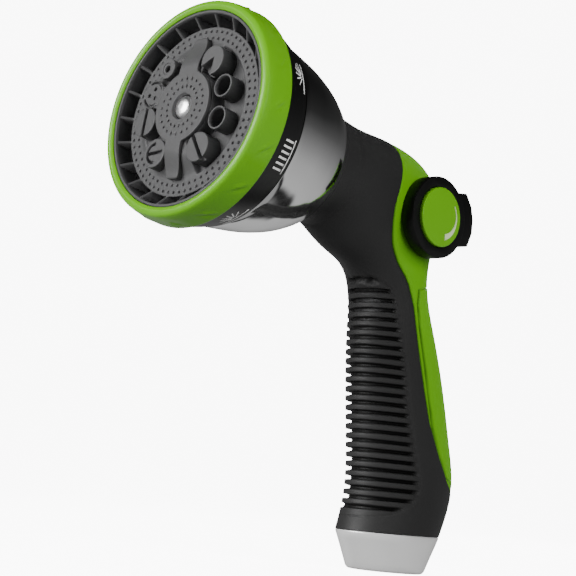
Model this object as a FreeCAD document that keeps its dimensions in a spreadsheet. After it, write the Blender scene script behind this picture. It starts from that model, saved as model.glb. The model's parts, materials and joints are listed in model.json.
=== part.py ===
import FreeCAD, Part
import math
import os
import re

import Sketcher

# Hose spray nozzle with a turning pattern dial and a thumb valve.
# Frame: origin at the mouth of the hose inlet, +Z up along the inlet, the spray
# leaves toward -Y and a little up, and X = 0 is the plane of symmetry.
# Turned pieces of the head are drawn in a frame of their own: its origin is the
# centre of the dial's face, its Z is the spray direction, and "depth" is
# measured from the face back toward the elbow.

doc = FreeCAD.newDocument("HoseNozzle")
sheet = doc.addObject("Spreadsheet::Sheet", "Sizes")

sizes = {
    # places
    "head_reach": 133.6,
    "face_height": 161.5,
    "spray_tilt": 7.3,
    "thumb_ahead": 12.2,
    "thumb_height": 142.3,
    "elbow_start_height": 95.0,
    "elbow_start_ahead": 8.5,
    # grip
    "grip_bottom": 15.4,
    "cover_thickness": 2.6,
    "neck_radius": 24.0,
    "neck_end_depth": 63.0,
    "rib_count": 25,
    "rib_pitch": 3.72,
    "rib_gap": 1.5,
    "rib_depth": 1.3,
    "rib_lowest": 24.2,
    # inlet
    "inlet_thread_radius": 12.3,
    "inlet_thread_length": 11.0,
    "insert_radius": 14.2,
    "insert_length": 17.0,
    "washer_thickness": 2.8,
    "washer_play": 0.2,
    "washer_seat_radius": 13.0,
    "water_radius": 6.5,
    "collar_mouth_radius": 15.2,
    "collar_edge": 1.0,
    "screen_thickness": 0.6,
    # thumb valve
    "spool_radius": 8.0,
    "spool_clearance": 0.06,
    "sleeve_wall": 1.5,
    "sleeve_half_length": 16.6,
    "side_flat": 16.7,
    "yoke_inside": 17.3,
    "yoke_disc_radius": 16.5,
    "yoke_face": 23.4,
    "paddle_reach": 27.9,
    "paddle_thickness": 2.9,
    "paddle_half_height": 11.0,
    "paddle_corner": 23.9,
    "paddle_lift": 8.0,
    "paddle_face": 18.9,
    "cap_radius": 12.05,
    "cap_seat_depth": 1.2,
    "cap_rise": 1.3,
    "mark_radius": 9.3,
    "mark_inner_radius": 7.5,
    "mark_tip": 0.3,
    "mark_height": 0.3,
    "oring_radius": 0.85,
    "oring_offset": 11.0,
    "cap_screw_radius": 1.5,
    # head shell
    "bell_front_depth": 25.2,
    "bell_wall": 1.6,
    "bell_front_radius": 37.3,
    "bell_shoulder_radius": 34.6,
    "bell_rear_radius": 24.6,
    "core_cup_radius": 33.6,
    "core_cup_front": 28.6,
    "core_cup_floor": 40.0,
    "chamber_radius": 30.6,
    "screw_boss_radius": 6.5,
    "web_thickness": 3.0,
    "web_height": 8.0,
    "port_plate_front": 25.3,
    "port_plate_radius": 33.0,
    "port_plate_thickness": 3.0,
    "port_circle_radius": 22.0,
    "port_angle": 101.0,
    "port_bore": 2.4,
    "port_seal_radius": 4.2,
    "port_spring_length": 3.7,
    "seal_front_depth": 25.1,
    "seal_length": 5.0,
    "detent_circle_radius": 14.0,
    "detent_ball_radius": 2.2,
    "detent_count": 8,
    # dial
    "bezel_bore": 37.8,
    "bezel_front_radius": 42.0,
    "bezel_rear_radius": 43.0,
    "bezel_depth": 12.1,
    "band_front_radius": 41.7,
    "band_rear_radius": 37.8,
    "dial_rear_depth": 24.8,
    "dial_wall": 3.0,
    "face_depth": 1.0,
    "face_thickness": 2.6,
    "face_disc_radius": 32.6,
    "face_rim_radius": 37.6,
    "face_rim_wall": 1.2,
    "recess_floor_depth": 12.0,
    "face_rib_count": 22,
    "face_rib_thickness": 1.0,
    "pin_hole_radius": 0.5,
    "pin_ring_outer": 31.0,
    "pin_ring_inner": 28.2,
    "dome_radius": 19.0,
    "dome_foot_radius": 26.6,
    "dome_drop": 4.0,
    "pin_count_outer": 66,
    "pin_count_inner": 60,
    "hub_radius": 13.8,
    "hub_front_depth": -0.6,
    "leg_reach": 27.0,
    "leg_width": 8.0,
    "screw_radius": 3.0,
    "screw_clearance": 0.05,
    "screw_head_radius": 4.5,
    "screw_length": 46.0,
    "bush_radius": 6.1,
    "outlet_circle_radius": 20.0,
    "tube_radius": 4.4,
    "tube_bore": 3.5,
    "jet_radius": 4.2,
    "jet_bore": 1.3,
    "shower_radius": 5.4,
    "shower_hole_radius": 0.9,
    "slot_disc_radius": 5.6,
    "slot_width": 1.4,
    "slot_depth": 1.7,
    "vee_depth": 1.6,
    "seat_gap": 0.1,
}

for row, (alias, number) in enumerate(sizes.items(), start=1):
    sheet.set("A%d" % row, alias)
    sheet.set("B%d" % row, str(number))
    sheet.setAlias("B%d" % row, alias)
doc.recompute()

across = FreeCAD.Vector(1, 0, 0)
upward = FreeCAD.Vector(0, 0, 1)


def value(alias):
    """A number as the sheet holds it."""
    return float(sheet.get(alias))


def bind(item, path, formula):
    """Binds one property to a formula written with the sheet's names."""
    text = re.sub(r"[a-z]+(_[a-z]+)+", lambda word: "Sizes." + word.group(0), formula)
    item.setExpression(path, text)


def origin_plane(body, role):
    """One of a body's own origin planes, by its role."""
    for feature in body.Origin.OriginFeatures:
        if feature.Role == role:
            return feature


def put_in_head(item, depth="0"):
    """Places an item in the head's frame, its origin a depth behind the face."""
    item.Placement = FreeCAD.Placement(FreeCAD.Vector(), FreeCAD.Rotation(across, 80))
    bind(item, ".Placement.Rotation.Angle", "90 - spray_tilt")
    bind(item, ".Placement.Base.y", "-head_reach + (%s) * cos(spray_tilt)" % depth)
    bind(item, ".Placement.Base.z", "face_height - (%s) * sin(spray_tilt)" % depth)


def put_at_thumb(item):
    """Places an item with its origin on the thumb valve's axis."""
    bind(item, ".Placement.Base.y", "-thumb_ahead")
    bind(item, ".Placement.Base.z", "thumb_height")


def new_body(name):
    body = doc.addObject("PartDesign::Body", name)
    body.Label = name
    return body


def new_sketch(body, name, role, along="0"):
    """A sketch on an origin plane, moved along the plane's normal."""
    sketch = body.newObject("Sketcher::SketchObject", name)
    sketch.AttachmentSupport = [(origin_plane(body, role), "")]
    sketch.MapMode = "FlatFace"
    bind(sketch, ".AttachmentOffset.Base.z", along)
    return sketch


def outline(sketch, points):
    """Draws a closed outline through points given as pairs of formulas."""
    count = len(points)
    corners = []
    for index in range(count):
        turn = 2 * math.pi * index / count
        corners.append(FreeCAD.Vector(20 + 10 * math.cos(turn), 10 * math.sin(turn), 0))
    first = sketch.GeometryCount
    for index in range(count):
        line = Part.LineSegment(corners[index], corners[(index + 1) % count])
        sketch.addGeometry(line, False)
    for index in range(count):
        line = first + index
        after = first + (index + 1) % count
        sketch.addConstraint(Sketcher.Constraint("Coincident", line, 2, after, 1))
        for axis, formula in zip("XY", points[index]):
            start = corners[index].x if axis == "X" else corners[index].y
            rule = Sketcher.Constraint("Distance" + axis, -1, 1, line, 1, start)
            number = sketch.addConstraint(rule)
            bind(sketch, "Constraints[%d]" % number, formula)


def circle(sketch, radius, centre=("0", "0")):
    """Draws a circle with its radius and centre given as formulas."""
    number = sketch.addGeometry(Part.Circle(FreeCAD.Vector(1, 1, 0), upward, 2), False)
    rule = sketch.addConstraint(Sketcher.Constraint("Radius", number, 2))
    bind(sketch, "Constraints[%d]" % rule, radius)
    for axis, formula in zip("XY", centre):
        rule = sketch.addConstraint(Sketcher.Constraint("Distance" + axis, -1, 1, number, 3, 1))
        bind(sketch, "Constraints[%d]" % rule, formula)


def turned(name, points):
    """A ring or disc of the head, turned from (radius, depth) points."""
    body = new_body(name)
    put_in_head(body)
    sketch = new_sketch(body, name + "_profile", "XZ_Plane")
    outline(sketch, [(radius, "-(%s)" % depth) for radius, depth in points])
    turn = body.newObject("PartDesign::Revolution", name + "_turn")
    turn.Profile = sketch
    turn.ReferenceAxis = (sketch, ["V_Axis"])
    turn.Angle = 360
    doc.recompute()
    return body


def padded(body, sketch, length, kind="PartDesign::Pad", both=False, reverse=False):
    """Pads or pockets a sketch by a length given as a formula."""
    feature = body.newObject(kind, sketch.Name + "_" + kind.split("::")[1].lower())
    feature.Profile = sketch
    bind(feature, "Length", length)
    feature.Midplane = both
    feature.Reversed = reverse
    doc.recompute()
    return feature


def around(body, feature, count):
    """Repeats a feature about the body's Z axis."""
    ring = body.newObject("PartDesign::PolarPattern", feature.Name + "_ring")
    ring.Originals = [feature]
    ring.Axis = (origin_plane(body, "Z_Axis"), [""])
    ring.Angle = 360
    bind(ring, "Occurrences", count)
    body.Tip = ring
    doc.recompute()
    return ring


def rounded(body, radius, keep):
    """Rounds the edges of a body's last feature that a test picks out."""
    base = body.Tip
    names = []
    for index, edge in enumerate(base.Shape.Edges, start=1):
        if keep(edge):
            names.append("Edge%d" % index)
    fillet = body.newObject("PartDesign::Fillet", body.Name + "_round")
    fillet.Base = (base, names)
    bind(fillet, "Radius", radius)
    doc.recompute()


def cylinder(name, radius, height):
    item = doc.addObject("Part::Cylinder", name)
    bind(item, "Radius", radius)
    bind(item, "Height", height)
    return item


def across_cylinder(name, radius, half_length):
    """A cylinder along X about the thumb valve's axis."""
    item = cylinder(name, radius, "2 * (%s)" % half_length)
    item.Placement = FreeCAD.Placement(
        FreeCAD.Vector(), FreeCAD.Rotation(FreeCAD.Vector(0, 1, 0), 90))
    bind(item, ".Placement.Base.x", "-(%s)" % half_length)
    put_at_thumb(item)
    return item


def joined(name, items):
    result = doc.addObject("Part::MultiFuse", name)
    result.Shapes = items
    return result


def cut(name, base, tools):
    """Cuts tools from a base one after another."""
    for number, tool in enumerate(tools, start=1):
        last = number == len(tools)
        result = doc.addObject("Part::Cut", name if last else "%s_step_%d" % (name, number))
        result.Base = base
        result.Tool = tool
        base = result
    base.Label = name
    return base


def common(name, base, tool):
    result = doc.addObject("Part::Common", name)
    result.Base = base
    result.Tool = tool
    result.Label = name
    return result


def solid(name, shape):
    item = doc.addObject("Part::Feature", name)
    item.Shape = shape
    item.Label = name
    return item


# ---- handle, elbow and neck ----------------------------------------------------
# The handle's stations are level ellipses: height, how far the centre is behind
# the inlet's axis, half width and half depth.
handle_stations = [
    (value("grip_bottom"), -0.1, 18.6, 24.2),
    (24.0, 2.7, 18.4, 25.3),
    (36.0, 4.4, 18.0, 26.5),
    (52.0, 1.9, 17.4, 25.9),
    (74.0, -3.2, 16.8, 24.0),
]
# The elbow's stations fan about a hinge line in front of the handle: share of
# the whole turn, centre's distance beyond the even curve, half width, half depth.
elbow_stations = [
    (0.0, 0.0, 16.6, 20.0),
    (0.22, 0.9, 16.6, 16.6),
    (0.435, 9.6, 17.0, 30.1),
    (0.653, 4.8, 19.0, 27.5),
    (0.846, 1.2, 22.0, 21.6),
    (1.0, 0.0, value("neck_radius"), value("neck_radius")),
]
tilt = math.radians(value("spray_tilt"))
spray = FreeCAD.Vector(0, -math.cos(tilt), math.sin(tilt))
face_centre = FreeCAD.Vector(0, -value("head_reach"), value("face_height"))
neck_end = face_centre - spray * value("neck_end_depth")


def elbow_hinge():
    """Where the neck's end plane meets the level of the elbow's start."""
    drop = neck_end.z - value("elbow_start_height")
    return FreeCAD.Vector(0, neck_end.y - drop * math.tan(tilt), value("elbow_start_height"))


def station_list():
    """Every station as centre, lean from level, half width and half depth."""
    stations = []
    for height, behind, half_width, half_depth in handle_stations:
        centre = FreeCAD.Vector(0, behind, height)
        stations.append((centre, 0.0, half_width, half_depth))
    hinge = elbow_hinge()
    start_distance = -value("elbow_start_ahead") - hinge.y
    end_distance = (neck_end - hinge).Length
    whole_turn = math.pi / 2 - tilt
    for share, beyond, half_width, half_depth in elbow_stations:
        lean = whole_turn * share
        distance = start_distance + (end_distance - start_distance) * share + beyond
        centre = hinge + FreeCAD.Vector(0, math.cos(lean), math.sin(lean)) * distance
        stations.append((centre, lean, half_width, half_depth))
    return stations


def oval(centre, lean, half_width, half_depth):
    """An ellipse in a plane that leans back about X."""
    stretch = FreeCAD.Matrix()
    stretch.scale(half_width, half_depth, 1)
    edge = Part.makeCircle(1).transformGeometry(stretch)
    edge.Placement = FreeCAD.Placement(centre, FreeCAD.Rotation(across, math.degrees(lean)))
    return Part.Wire([edge])


def body_loft(grow):
    """The smooth outer form of handle, elbow and neck, grown outward."""
    wires = [oval(centre, lean, half_width + grow, half_depth + grow)
             for centre, lean, half_width, half_depth in station_list()]
    return Part.makeLoft(wires, True)


def side_region(points, close_at):
    """A slab across the whole width behind a smooth line in the side view."""
    line = Part.BSplineCurve()
    line.interpolate([FreeCAD.Vector(-60, y, z) for y, z in points])
    corners = [FreeCAD.Vector(-60, points[-1][0], points[-1][1])]
    corners.extend(FreeCAD.Vector(-60, y, z) for y, z in close_at)
    corners.append(FreeCAD.Vector(-60, points[0][0], points[0][1]))
    wire = Part.Wire([line.toShape()] + Part.makePolygon(corners).Edges)
    return Part.Face(wire).extrude(FreeCAD.Vector(120, 0, 0))


def spine_region():
    """The lime over-mould: round the thumb disc, then tapering down the back."""
    ahead = -value("thumb_ahead")
    level = value("thumb_height")
    points = [
        (ahead - 15.0, level + 40.0),
        (ahead - 16.0, level + 25.0),
        (ahead - 17.5, level + 14.0),
        (ahead - 20.7, level + 3.0),
        (ahead - 19.0, level - 6.0),
        (ahead - 15.2, level - 16.4),
        (ahead - 7.5, level - 26.0),
        (ahead - 2.4, level - 36.6),
        (ahead + 2.4, level - 52.1),
        (ahead + 7.9, level - 68.3),
        (ahead + 12.9, level - 81.8),
        (ahead + 20.8, level - 95.1),
        (ahead + 29.0, level - 105.0),
        (ahead + 45.0, level - 114.0),
    ]
    return side_region(points, [(ahead + 80.0, level - 114.0), (ahead + 80.0, level + 40.0)])


def front_region():
    """The ribbed panel: the front of the handle back to a line near its middle."""
    ahead = -value("thumb_ahead")
    level = value("thumb_height")
    points = [
        (ahead - 60.0, level - 26.0),
        (ahead - 17.5, level - 27.0),
        (ahead - 11.0, level - 31.5),
        (ahead - 8.0, level - 40.0),
        (ahead - 4.0, level - 54.0),
        (ahead + 0.2, level - 73.0),
        (ahead + 5.0, level - 92.0),
        (ahead + 9.0, level - 108.0),
        (ahead + 4.0, level - 115.0),
        (ahead - 5.0, level - 119.5),
        (ahead - 60.0, level - 121.5),
    ]
    return side_region(points, [(ahead - 70.0, level - 121.5), (ahead - 70.0, level - 26.0)])


def level_slabs(lowest, pitch, height, count):
    """Level slabs, one above the other, wide enough to cross the grip."""
    slabs = []
    for index in range(count):
        corner = FreeCAD.Vector(-60, -90, lowest + index * pitch)
        slabs.append(Part.makeBox(120, 180, height, corner))
    return Part.makeCompound(slabs)


outer_form = solid("outer_form", body_loft(0))
inner_form = solid("inner_form", body_loft(-value("cover_thickness")))
ribs_floor = body_loft(-value("rib_depth"))

spine_block = solid("spine_block", spine_region())
rib_slabs = level_slabs(value("rib_lowest"), value("rib_pitch"), value("rib_gap"),
                        int(value("rib_count")))
rib_gaps = solid("rib_gaps", rib_slabs.common(front_region()).cut(ribs_floor))


spool_hole = across_cylinder("spool_hole", "spool_radius + spool_clearance + sleeve_wall", "40")
side_flats = []
for side, turn in (("right", 90), ("left", -90)):
    flat = cylinder("side_flat_" + side, "yoke_disc_radius + 0.6", "20")
    flat.Placement = FreeCAD.Placement(
        FreeCAD.Vector(), FreeCAD.Rotation(FreeCAD.Vector(0, 1, 0), turn))
    bind(flat, ".Placement.Base.x", "side_flat" if turn > 0 else "-side_flat")
    put_at_thumb(flat)
    side_flats.append(flat)
insert_hole = cylinder("insert_hole", "insert_radius + 0.05", "insert_length + 0.05")

cover_shell = cut("cover_shell", outer_form, [inner_form, spool_hole] + side_flats)
grip_cover = cut("grip_cover", cover_shell, [spine_block, rib_gaps])
spine_cover = common("spine_cover", cover_shell, spine_block)

# ---- hard core with the waterway -------------------------------------------------
core_head = turned("core_head", [
    ("0", "neck_end_depth + 9"),
    ("neck_radius - cover_thickness - 4", "neck_end_depth + 9"),
    ("neck_radius - cover_thickness - 4", "neck_end_depth - 0.5"),
    ("neck_radius - cover_thickness - 0.2", "neck_end_depth - 0.5"),
    ("neck_radius - cover_thickness - 0.2", "neck_end_depth - 15"),
    ("core_cup_radius", "core_cup_front + 5.4"),
    ("core_cup_radius", "core_cup_front"),
    ("chamber_radius", "core_cup_front"),
    ("chamber_radius", "core_cup_front + 4"),
    ("neck_radius - cover_thickness - 6", "core_cup_floor"),
    ("0", "core_cup_floor"),
])
neck_water = cylinder("neck_water", "water_radius + 3", "head_reach - thumb_ahead - core_cup_floor + 1")
put_in_head(neck_water, "head_reach - thumb_ahead")
handle_water = cylinder("handle_water", "water_radius",
                        "hypot(thumb_ahead; thumb_height - grip_bottom)")
handle_water.Placement = FreeCAD.Placement(FreeCAD.Vector(), FreeCAD.Rotation(across, 5))
bind(handle_water, ".Placement.Base.z", "grip_bottom")
bind(handle_water, ".Placement.Rotation.Angle", "atan(thumb_ahead / (thumb_height - grip_bottom))")
screw_boss = cylinder("screw_boss", "screw_boss_radius", "core_cup_floor + 9 - core_cup_front")
put_in_head(screw_boss, "core_cup_floor + 9")
boss_web = doc.addObject("Part::Box", "boss_web")
bind(boss_web, "Length", "2 * water_radius + 8")
bind(boss_web, "Width", "web_thickness")
bind(boss_web, "Height", "web_height")
boss_web_second = doc.addObject("Part::Box", "boss_web_second")
bind(boss_web_second, "Length", "web_thickness")
bind(boss_web_second, "Width", "2 * water_radius + 8")
bind(boss_web_second, "Height", "web_height")
web_body = doc.addObject("Part::MultiFuse", "web_body")
web_body.Shapes = [boss_web, boss_web_second]
bind(boss_web, ".Placement.Base.x", "-water_radius - 4")
bind(boss_web, ".Placement.Base.y", "-web_thickness / 2")
bind(boss_web_second, ".Placement.Base.x", "-web_thickness / 2")
bind(boss_web_second, ".Placement.Base.y", "-water_radius - 4")
put_in_head(web_body, "core_cup_floor + 8.5")
screw_hole = cylinder("screw_hole", "screw_radius", "screw_length + 1")
put_in_head(screw_hole, "screw_length")
core_blank = joined("core_blank", [inner_form, core_head])
core_hollow = cut("core_hollow", core_blank, [neck_water])
core_filled = joined("core_filled", [core_hollow, screw_boss, web_body])
body_core = cut("body_core", core_filled, [handle_water, spool_hole, screw_hole, insert_hole])

# ---- hose end ---------------------------------------------------------------------
def collar_form():
    """The collar's outside: an oval under the grip drawn in to a round mouth."""
    centre, lean, half_width, half_depth = station_list()[0]
    mouth = value("collar_mouth_radius")
    belly = mouth + value("collar_edge")
    rings = [
        (0.0, mouth, mouth, 0.0),
        (value("collar_edge"), belly, belly, 0.1 * centre.y),
        (centre.z, half_width, half_depth, centre.y),
    ]
    wires = [oval(FreeCAD.Vector(0, behind, level), 0.0, wide, deep)
             for level, wide, deep, behind in rings]
    return Part.makeLoft(wires, True, True)


collar_blank = solid("collar_blank", collar_form())
base_collar = cut("base_collar", collar_blank, [insert_hole])

inlet_insert = new_body("inlet_insert")
sketch = new_sketch(inlet_insert, "insert_outline", "XY_Plane")
circle(sketch, "insert_radius")
padded(inlet_insert, sketch, "insert_length")
sketch = new_sketch(inlet_insert, "thread_bore", "XY_Plane")
circle(sketch, "inlet_thread_radius")
padded(inlet_insert, sketch, "inlet_thread_length", "PartDesign::Pocket", reverse=True)
sketch = new_sketch(inlet_insert, "washer_seat", "XY_Plane", "inlet_thread_length")
circle(sketch, "washer_seat_radius")
padded(inlet_insert, sketch, "washer_thickness + washer_play", "PartDesign::Pocket", reverse=True)
sketch = new_sketch(inlet_insert, "water_hole", "XY_Plane")
circle(sketch, "water_radius + 1.5")
padded(inlet_insert, sketch, "insert_length + 1", "PartDesign::Pocket", reverse=True)

hose_washer = new_body("hose_washer")
sketch = new_sketch(hose_washer, "washer_outline", "XY_Plane", "inlet_thread_length + washer_play")
circle(sketch, "washer_seat_radius - seat_gap")
circle(sketch, "water_radius + 1.7")
padded(hose_washer, sketch, "washer_thickness")

filter_screen = new_body("filter_screen")
sketch = new_sketch(filter_screen, "screen_outline", "XY_Plane", "inlet_thread_length + washer_play + washer_thickness / 2")
circle(sketch, "water_radius + 1.6")
padded(filter_screen, sketch, "screen_thickness")

# ---- thumb valve ------------------------------------------------------------------
sleeve_outside = across_cylinder("sleeve_outside", "spool_radius + spool_clearance + sleeve_wall - 0.02",
                                 "sleeve_half_length")
sleeve_inside = across_cylinder("sleeve_inside", "spool_radius + spool_clearance", "sleeve_half_length + 1")
spool_sleeve = cut("spool_sleeve", sleeve_outside, [sleeve_inside, neck_water, handle_water])

spool_rod = across_cylinder("spool_rod", "spool_radius", "yoke_inside")
spool_port = doc.addObject("Part::Box", "spool_port")
bind(spool_port, "Length", "2 * water_radius")
bind(spool_port, "Width", "2 * spool_radius")
bind(spool_port, "Height", "2 * spool_radius")
bind(spool_port, ".Placement.Base.x", "-water_radius")
bind(spool_port, ".Placement.Base.y", "-thumb_ahead - 2 * spool_radius + 2")
bind(spool_port, ".Placement.Base.z", "thumb_height - 2 * spool_radius + 2")


def ring_about_thumb(name, offset):
    """A rubber ring about the spool, or the groove that it lies in."""
    ring = doc.addObject("Part::Torus", name)
    ring.Placement = FreeCAD.Placement(
        FreeCAD.Vector(), FreeCAD.Rotation(FreeCAD.Vector(0, 1, 0), 90))
    bind(ring, "Radius1", "spool_radius - oring_radius - 0.07")
    bind(ring, "Radius2", "oring_radius")
    bind(ring, ".Placement.Base.x", offset)
    put_at_thumb(ring)
    ring.Label = name
    return ring


oring_right = ring_about_thumb("spool_oring_right", "oring_offset")
oring_left = ring_about_thumb("spool_oring_left", "-oring_offset")
cap_screws_hole = across_cylinder("cap_screws_hole", "cap_screw_radius", "yoke_face - cap_seat_depth")
valve_spool = cut("valve_spool", spool_rod, [spool_port, oring_right, oring_left, cap_screws_hole])

yoke = new_body("thumb_yoke")
put_at_thumb(yoke)
sketch = new_sketch(yoke, "yoke_disc", "YZ_Plane")
circle(sketch, "yoke_disc_radius")
padded(yoke, sketch, "2 * yoke_face", both=True)
sketch = new_sketch(yoke, "paddle_outline", "YZ_Plane")
# Each corner: its distance along the paddle's middle line and its distance up from that line.
paddle_corners = [
    ("0", "-paddle_half_height"),
    ("paddle_corner", "-paddle_half_height"),
    ("0.2 * paddle_corner + 0.8 * paddle_reach", "-paddle_half_height / 2"),
    ("paddle_reach", "0"),
    ("0.2 * paddle_corner + 0.8 * paddle_reach", "paddle_half_height / 2"),
    ("paddle_corner", "paddle_half_height"),
    ("0", "paddle_half_height"),
]
outline(sketch, [
    ("(%s) * cos(paddle_lift) - (%s) * sin(paddle_lift)" % corner,
     "(%s) * sin(paddle_lift) + (%s) * cos(paddle_lift)" % corner)
    for corner in paddle_corners
])
padded(yoke, sketch, "2 * paddle_face", both=True)
sketch = new_sketch(yoke, "yoke_gap", "YZ_Plane")
circle(sketch, "paddle_reach - paddle_thickness")
padded(yoke, sketch, "2 * yoke_inside", "PartDesign::Pocket", both=True)
for side, sign in (("right", ""), ("left", "-")):
    sketch = new_sketch(yoke, "cap_seat_" + side, "YZ_Plane", sign + "(yoke_face - cap_seat_depth)")
    circle(sketch, "cap_radius + seat_gap")
    padded(yoke, sketch, "cap_seat_depth + 1", "PartDesign::Pocket", reverse=(side == "right"))
sketch = new_sketch(yoke, "yoke_screw_hole", "YZ_Plane")
circle(sketch, "cap_screw_radius")
padded(yoke, sketch, "3 * yoke_face", "PartDesign::Pocket", both=True)
yoke.Label = "thumb_yoke"

for side, sign in (("right", ""), ("left", "-")):
    cap = new_body("cap_" + side)
    put_at_thumb(cap)
    sketch = new_sketch(cap, "cap_outline_" + side, "YZ_Plane", sign + "(yoke_face - cap_seat_depth)")
    circle(sketch, "cap_radius")
    padded(cap, sketch, "cap_seat_depth + cap_rise", reverse=(side == "left"))
    rounded(cap, "cap_rise / 2", lambda edge: abs(edge.BoundBox.Center.x) > value("yoke_face") + 0.5)
    mark_disc = across_cylinder("mark_disc_" + side, "mark_radius", "yoke_face + cap_rise + mark_height")
    mark_hole = across_cylinder("mark_hole_" + side, "mark_inner_radius", "yoke_face + cap_rise + 2")
    shift = "(mark_radius - mark_inner_radius - mark_tip)"
    bind(mark_hole, ".Placement.Base.y", "-thumb_ahead + %s * cos(37)" % shift)
    bind(mark_hole, ".Placement.Base.z", "thumb_height + %s * sin(37)" % shift)
    mark_box = doc.addObject("Part::Box", "mark_box_" + side)
    bind(mark_box, "Length", "mark_height")
    bind(mark_box, "Width", "mark_radius")
    bind(mark_box, "Height", "1.6 * mark_radius")
    bind(mark_box, ".Placement.Base.x",
         "yoke_face + cap_rise" if side == "right" else "-yoke_face - cap_rise - mark_height")
    bind(mark_box, ".Placement.Base.y", "-thumb_ahead + 2.5")
    bind(mark_box, ".Placement.Base.z", "thumb_height - mark_radius")
    mark_ring = cut("mark_ring_" + side, mark_disc, [mark_hole])
    common("flow_mark_" + side, mark_ring, mark_box)

cap_screws_whole = across_cylinder("cap_screws_whole", "cap_screw_radius - 0.02",
                                   "yoke_face - cap_seat_depth - 0.1")
cap_screws_gap = across_cylinder("cap_screws_gap", "2 * cap_screw_radius", "spool_radius")
cap_screws = cut("cap_screws", cap_screws_whole, [cap_screws_gap])

# ---- bell and port plate -------------------------------------------------------------
bell_shroud = turned("bell_shroud", [
    ("bell_front_radius", "bell_front_depth"),
    ("bell_shoulder_radius + 1.9", "bell_front_depth + 6.8"),
    ("bell_shoulder_radius", "bell_front_depth + 16.8"),
    ("bell_shoulder_radius - 3.3", "neck_end_depth - 11"),
    ("bell_rear_radius + 2.9", "neck_end_depth - 4"),
    ("bell_rear_radius", "neck_end_depth - 0.2"),
    ("bell_rear_radius - bell_wall", "neck_end_depth - 0.2"),
    ("bell_rear_radius + 2.9 - 1.2 * bell_wall", "neck_end_depth - 4.6"),
    ("bell_shoulder_radius - 3.3 - 1.1 * bell_wall", "neck_end_depth - 11.6"),
    ("bell_shoulder_radius - bell_wall", "bell_front_depth + 16.4"),
    ("bell_shoulder_radius + 1.9 - bell_wall", "bell_front_depth + 6.6"),
    ("bell_front_radius - bell_wall", "bell_front_depth"),
])
bell_seal = turned("bell_seal", [
    ("neck_radius - cover_thickness - 0.1", "neck_end_depth - 3"),
    ("bell_rear_radius - bell_wall - 0.1", "neck_end_depth - 3"),
    ("bell_rear_radius - bell_wall - 0.1", "neck_end_depth - 0.6"),
    ("neck_radius - cover_thickness - 0.1", "neck_end_depth - 0.6"),
])


def pin_pocket(body, name, radius, distance, angle, depth, count=""):
    """A round hole through a turned plate at a distance and angle, from the front."""
    sketch = new_sketch(body, name, "XY_Plane", "-(%s)" % depth)
    centre = ("(%s) * cos(%s)" % (distance, angle), "(%s) * sin(%s)" % (distance, angle))
    circle(sketch, radius, centre)
    hole = padded(body, sketch, "dial_rear_depth * 2", "PartDesign::Pocket", both=True)
    if count:
        hole = around(body, hole, count)
    return hole


port_plate = turned("port_plate", [
    ("screw_radius + 0.4", "port_plate_front"),
    ("port_plate_radius", "port_plate_front"),
    ("port_plate_radius", "port_plate_front + port_plate_thickness"),
    ("screw_radius + 0.4", "port_plate_front + port_plate_thickness"),
])
pin_pocket(port_plate, "port_hole", "port_seal_radius + seat_gap", "port_circle_radius",
           "port_angle", "port_plate_front")
pin_pocket(port_plate, "detent_hole", "detent_ball_radius + seat_gap", "detent_circle_radius",
           "port_angle + 180", "port_plate_front")


def off_axis(item, distance, angle, depth):
    """Places an item of the head away from the spray axis."""
    item.Placement = FreeCAD.Placement(FreeCAD.Vector(), FreeCAD.Rotation(across, 80))
    bind(item, ".Placement.Rotation.Angle", "90 - spray_tilt")
    bind(item, ".Placement.Base.x", "(%s) * cos(%s)" % (distance, angle))
    lift = "(%s) * sin(%s)" % (distance, angle)
    bind(item, ".Placement.Base.y",
         "-head_reach + (%s) * cos(spray_tilt) + %s * sin(spray_tilt)" % (depth, lift))
    bind(item, ".Placement.Base.z",
         "face_height - (%s) * sin(spray_tilt) + %s * cos(spray_tilt)" % (depth, lift))


seal_outside = cylinder("seal_outside", "port_seal_radius", "seal_length")
off_axis(seal_outside, "port_circle_radius", "port_angle", "seal_front_depth + seal_length")
seal_inside = cylinder("seal_inside", "port_bore", "seal_length + 2")
off_axis(seal_inside, "port_circle_radius", "port_angle", "seal_front_depth + seal_length + 1")
port_seal = cut("port_seal", seal_outside, [seal_inside])

detent_ball = doc.addObject("Part::Sphere", "detent_ball")
bind(detent_ball, "Radius", "detent_ball_radius")
off_axis(detent_ball, "detent_circle_radius", "port_angle + 180", "seal_front_depth + detent_ball_radius")
detent_ball.Label = "detent_ball"


def coil_spring(name, distance, angle, start_depth, radius, wire, length, turns):
    """A round-wire spring behind the port plate, its axis along the spray."""
    helix = Part.makeHelix(length / turns, length, radius)
    start = FreeCAD.Vector(radius, 0, 0)
    section = Part.Wire([Part.makeCircle(wire, start, FreeCAD.Vector(0, 1, 0))])
    coil = Part.Wire(helix.Edges).makePipeShell([section], True, True)
    item = solid(name, coil)
    off_axis(item, distance, angle, start_depth)
    return item


port_spring = coil_spring("port_spring", "port_circle_radius", "port_angle",
                          "seal_front_depth + seal_length + port_spring_length + 2 * seat_gap + 0.4",
                          value("port_seal_radius") - 1.0, 0.4, value("port_spring_length"), 3)
detent_spring = coil_spring("detent_spring", "detent_circle_radius", "port_angle + 180",
                            "seal_front_depth + 2 * detent_ball_radius + 7.6",
                            value("detent_ball_radius") - 0.6, 0.3, 7.0, 6)

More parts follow.
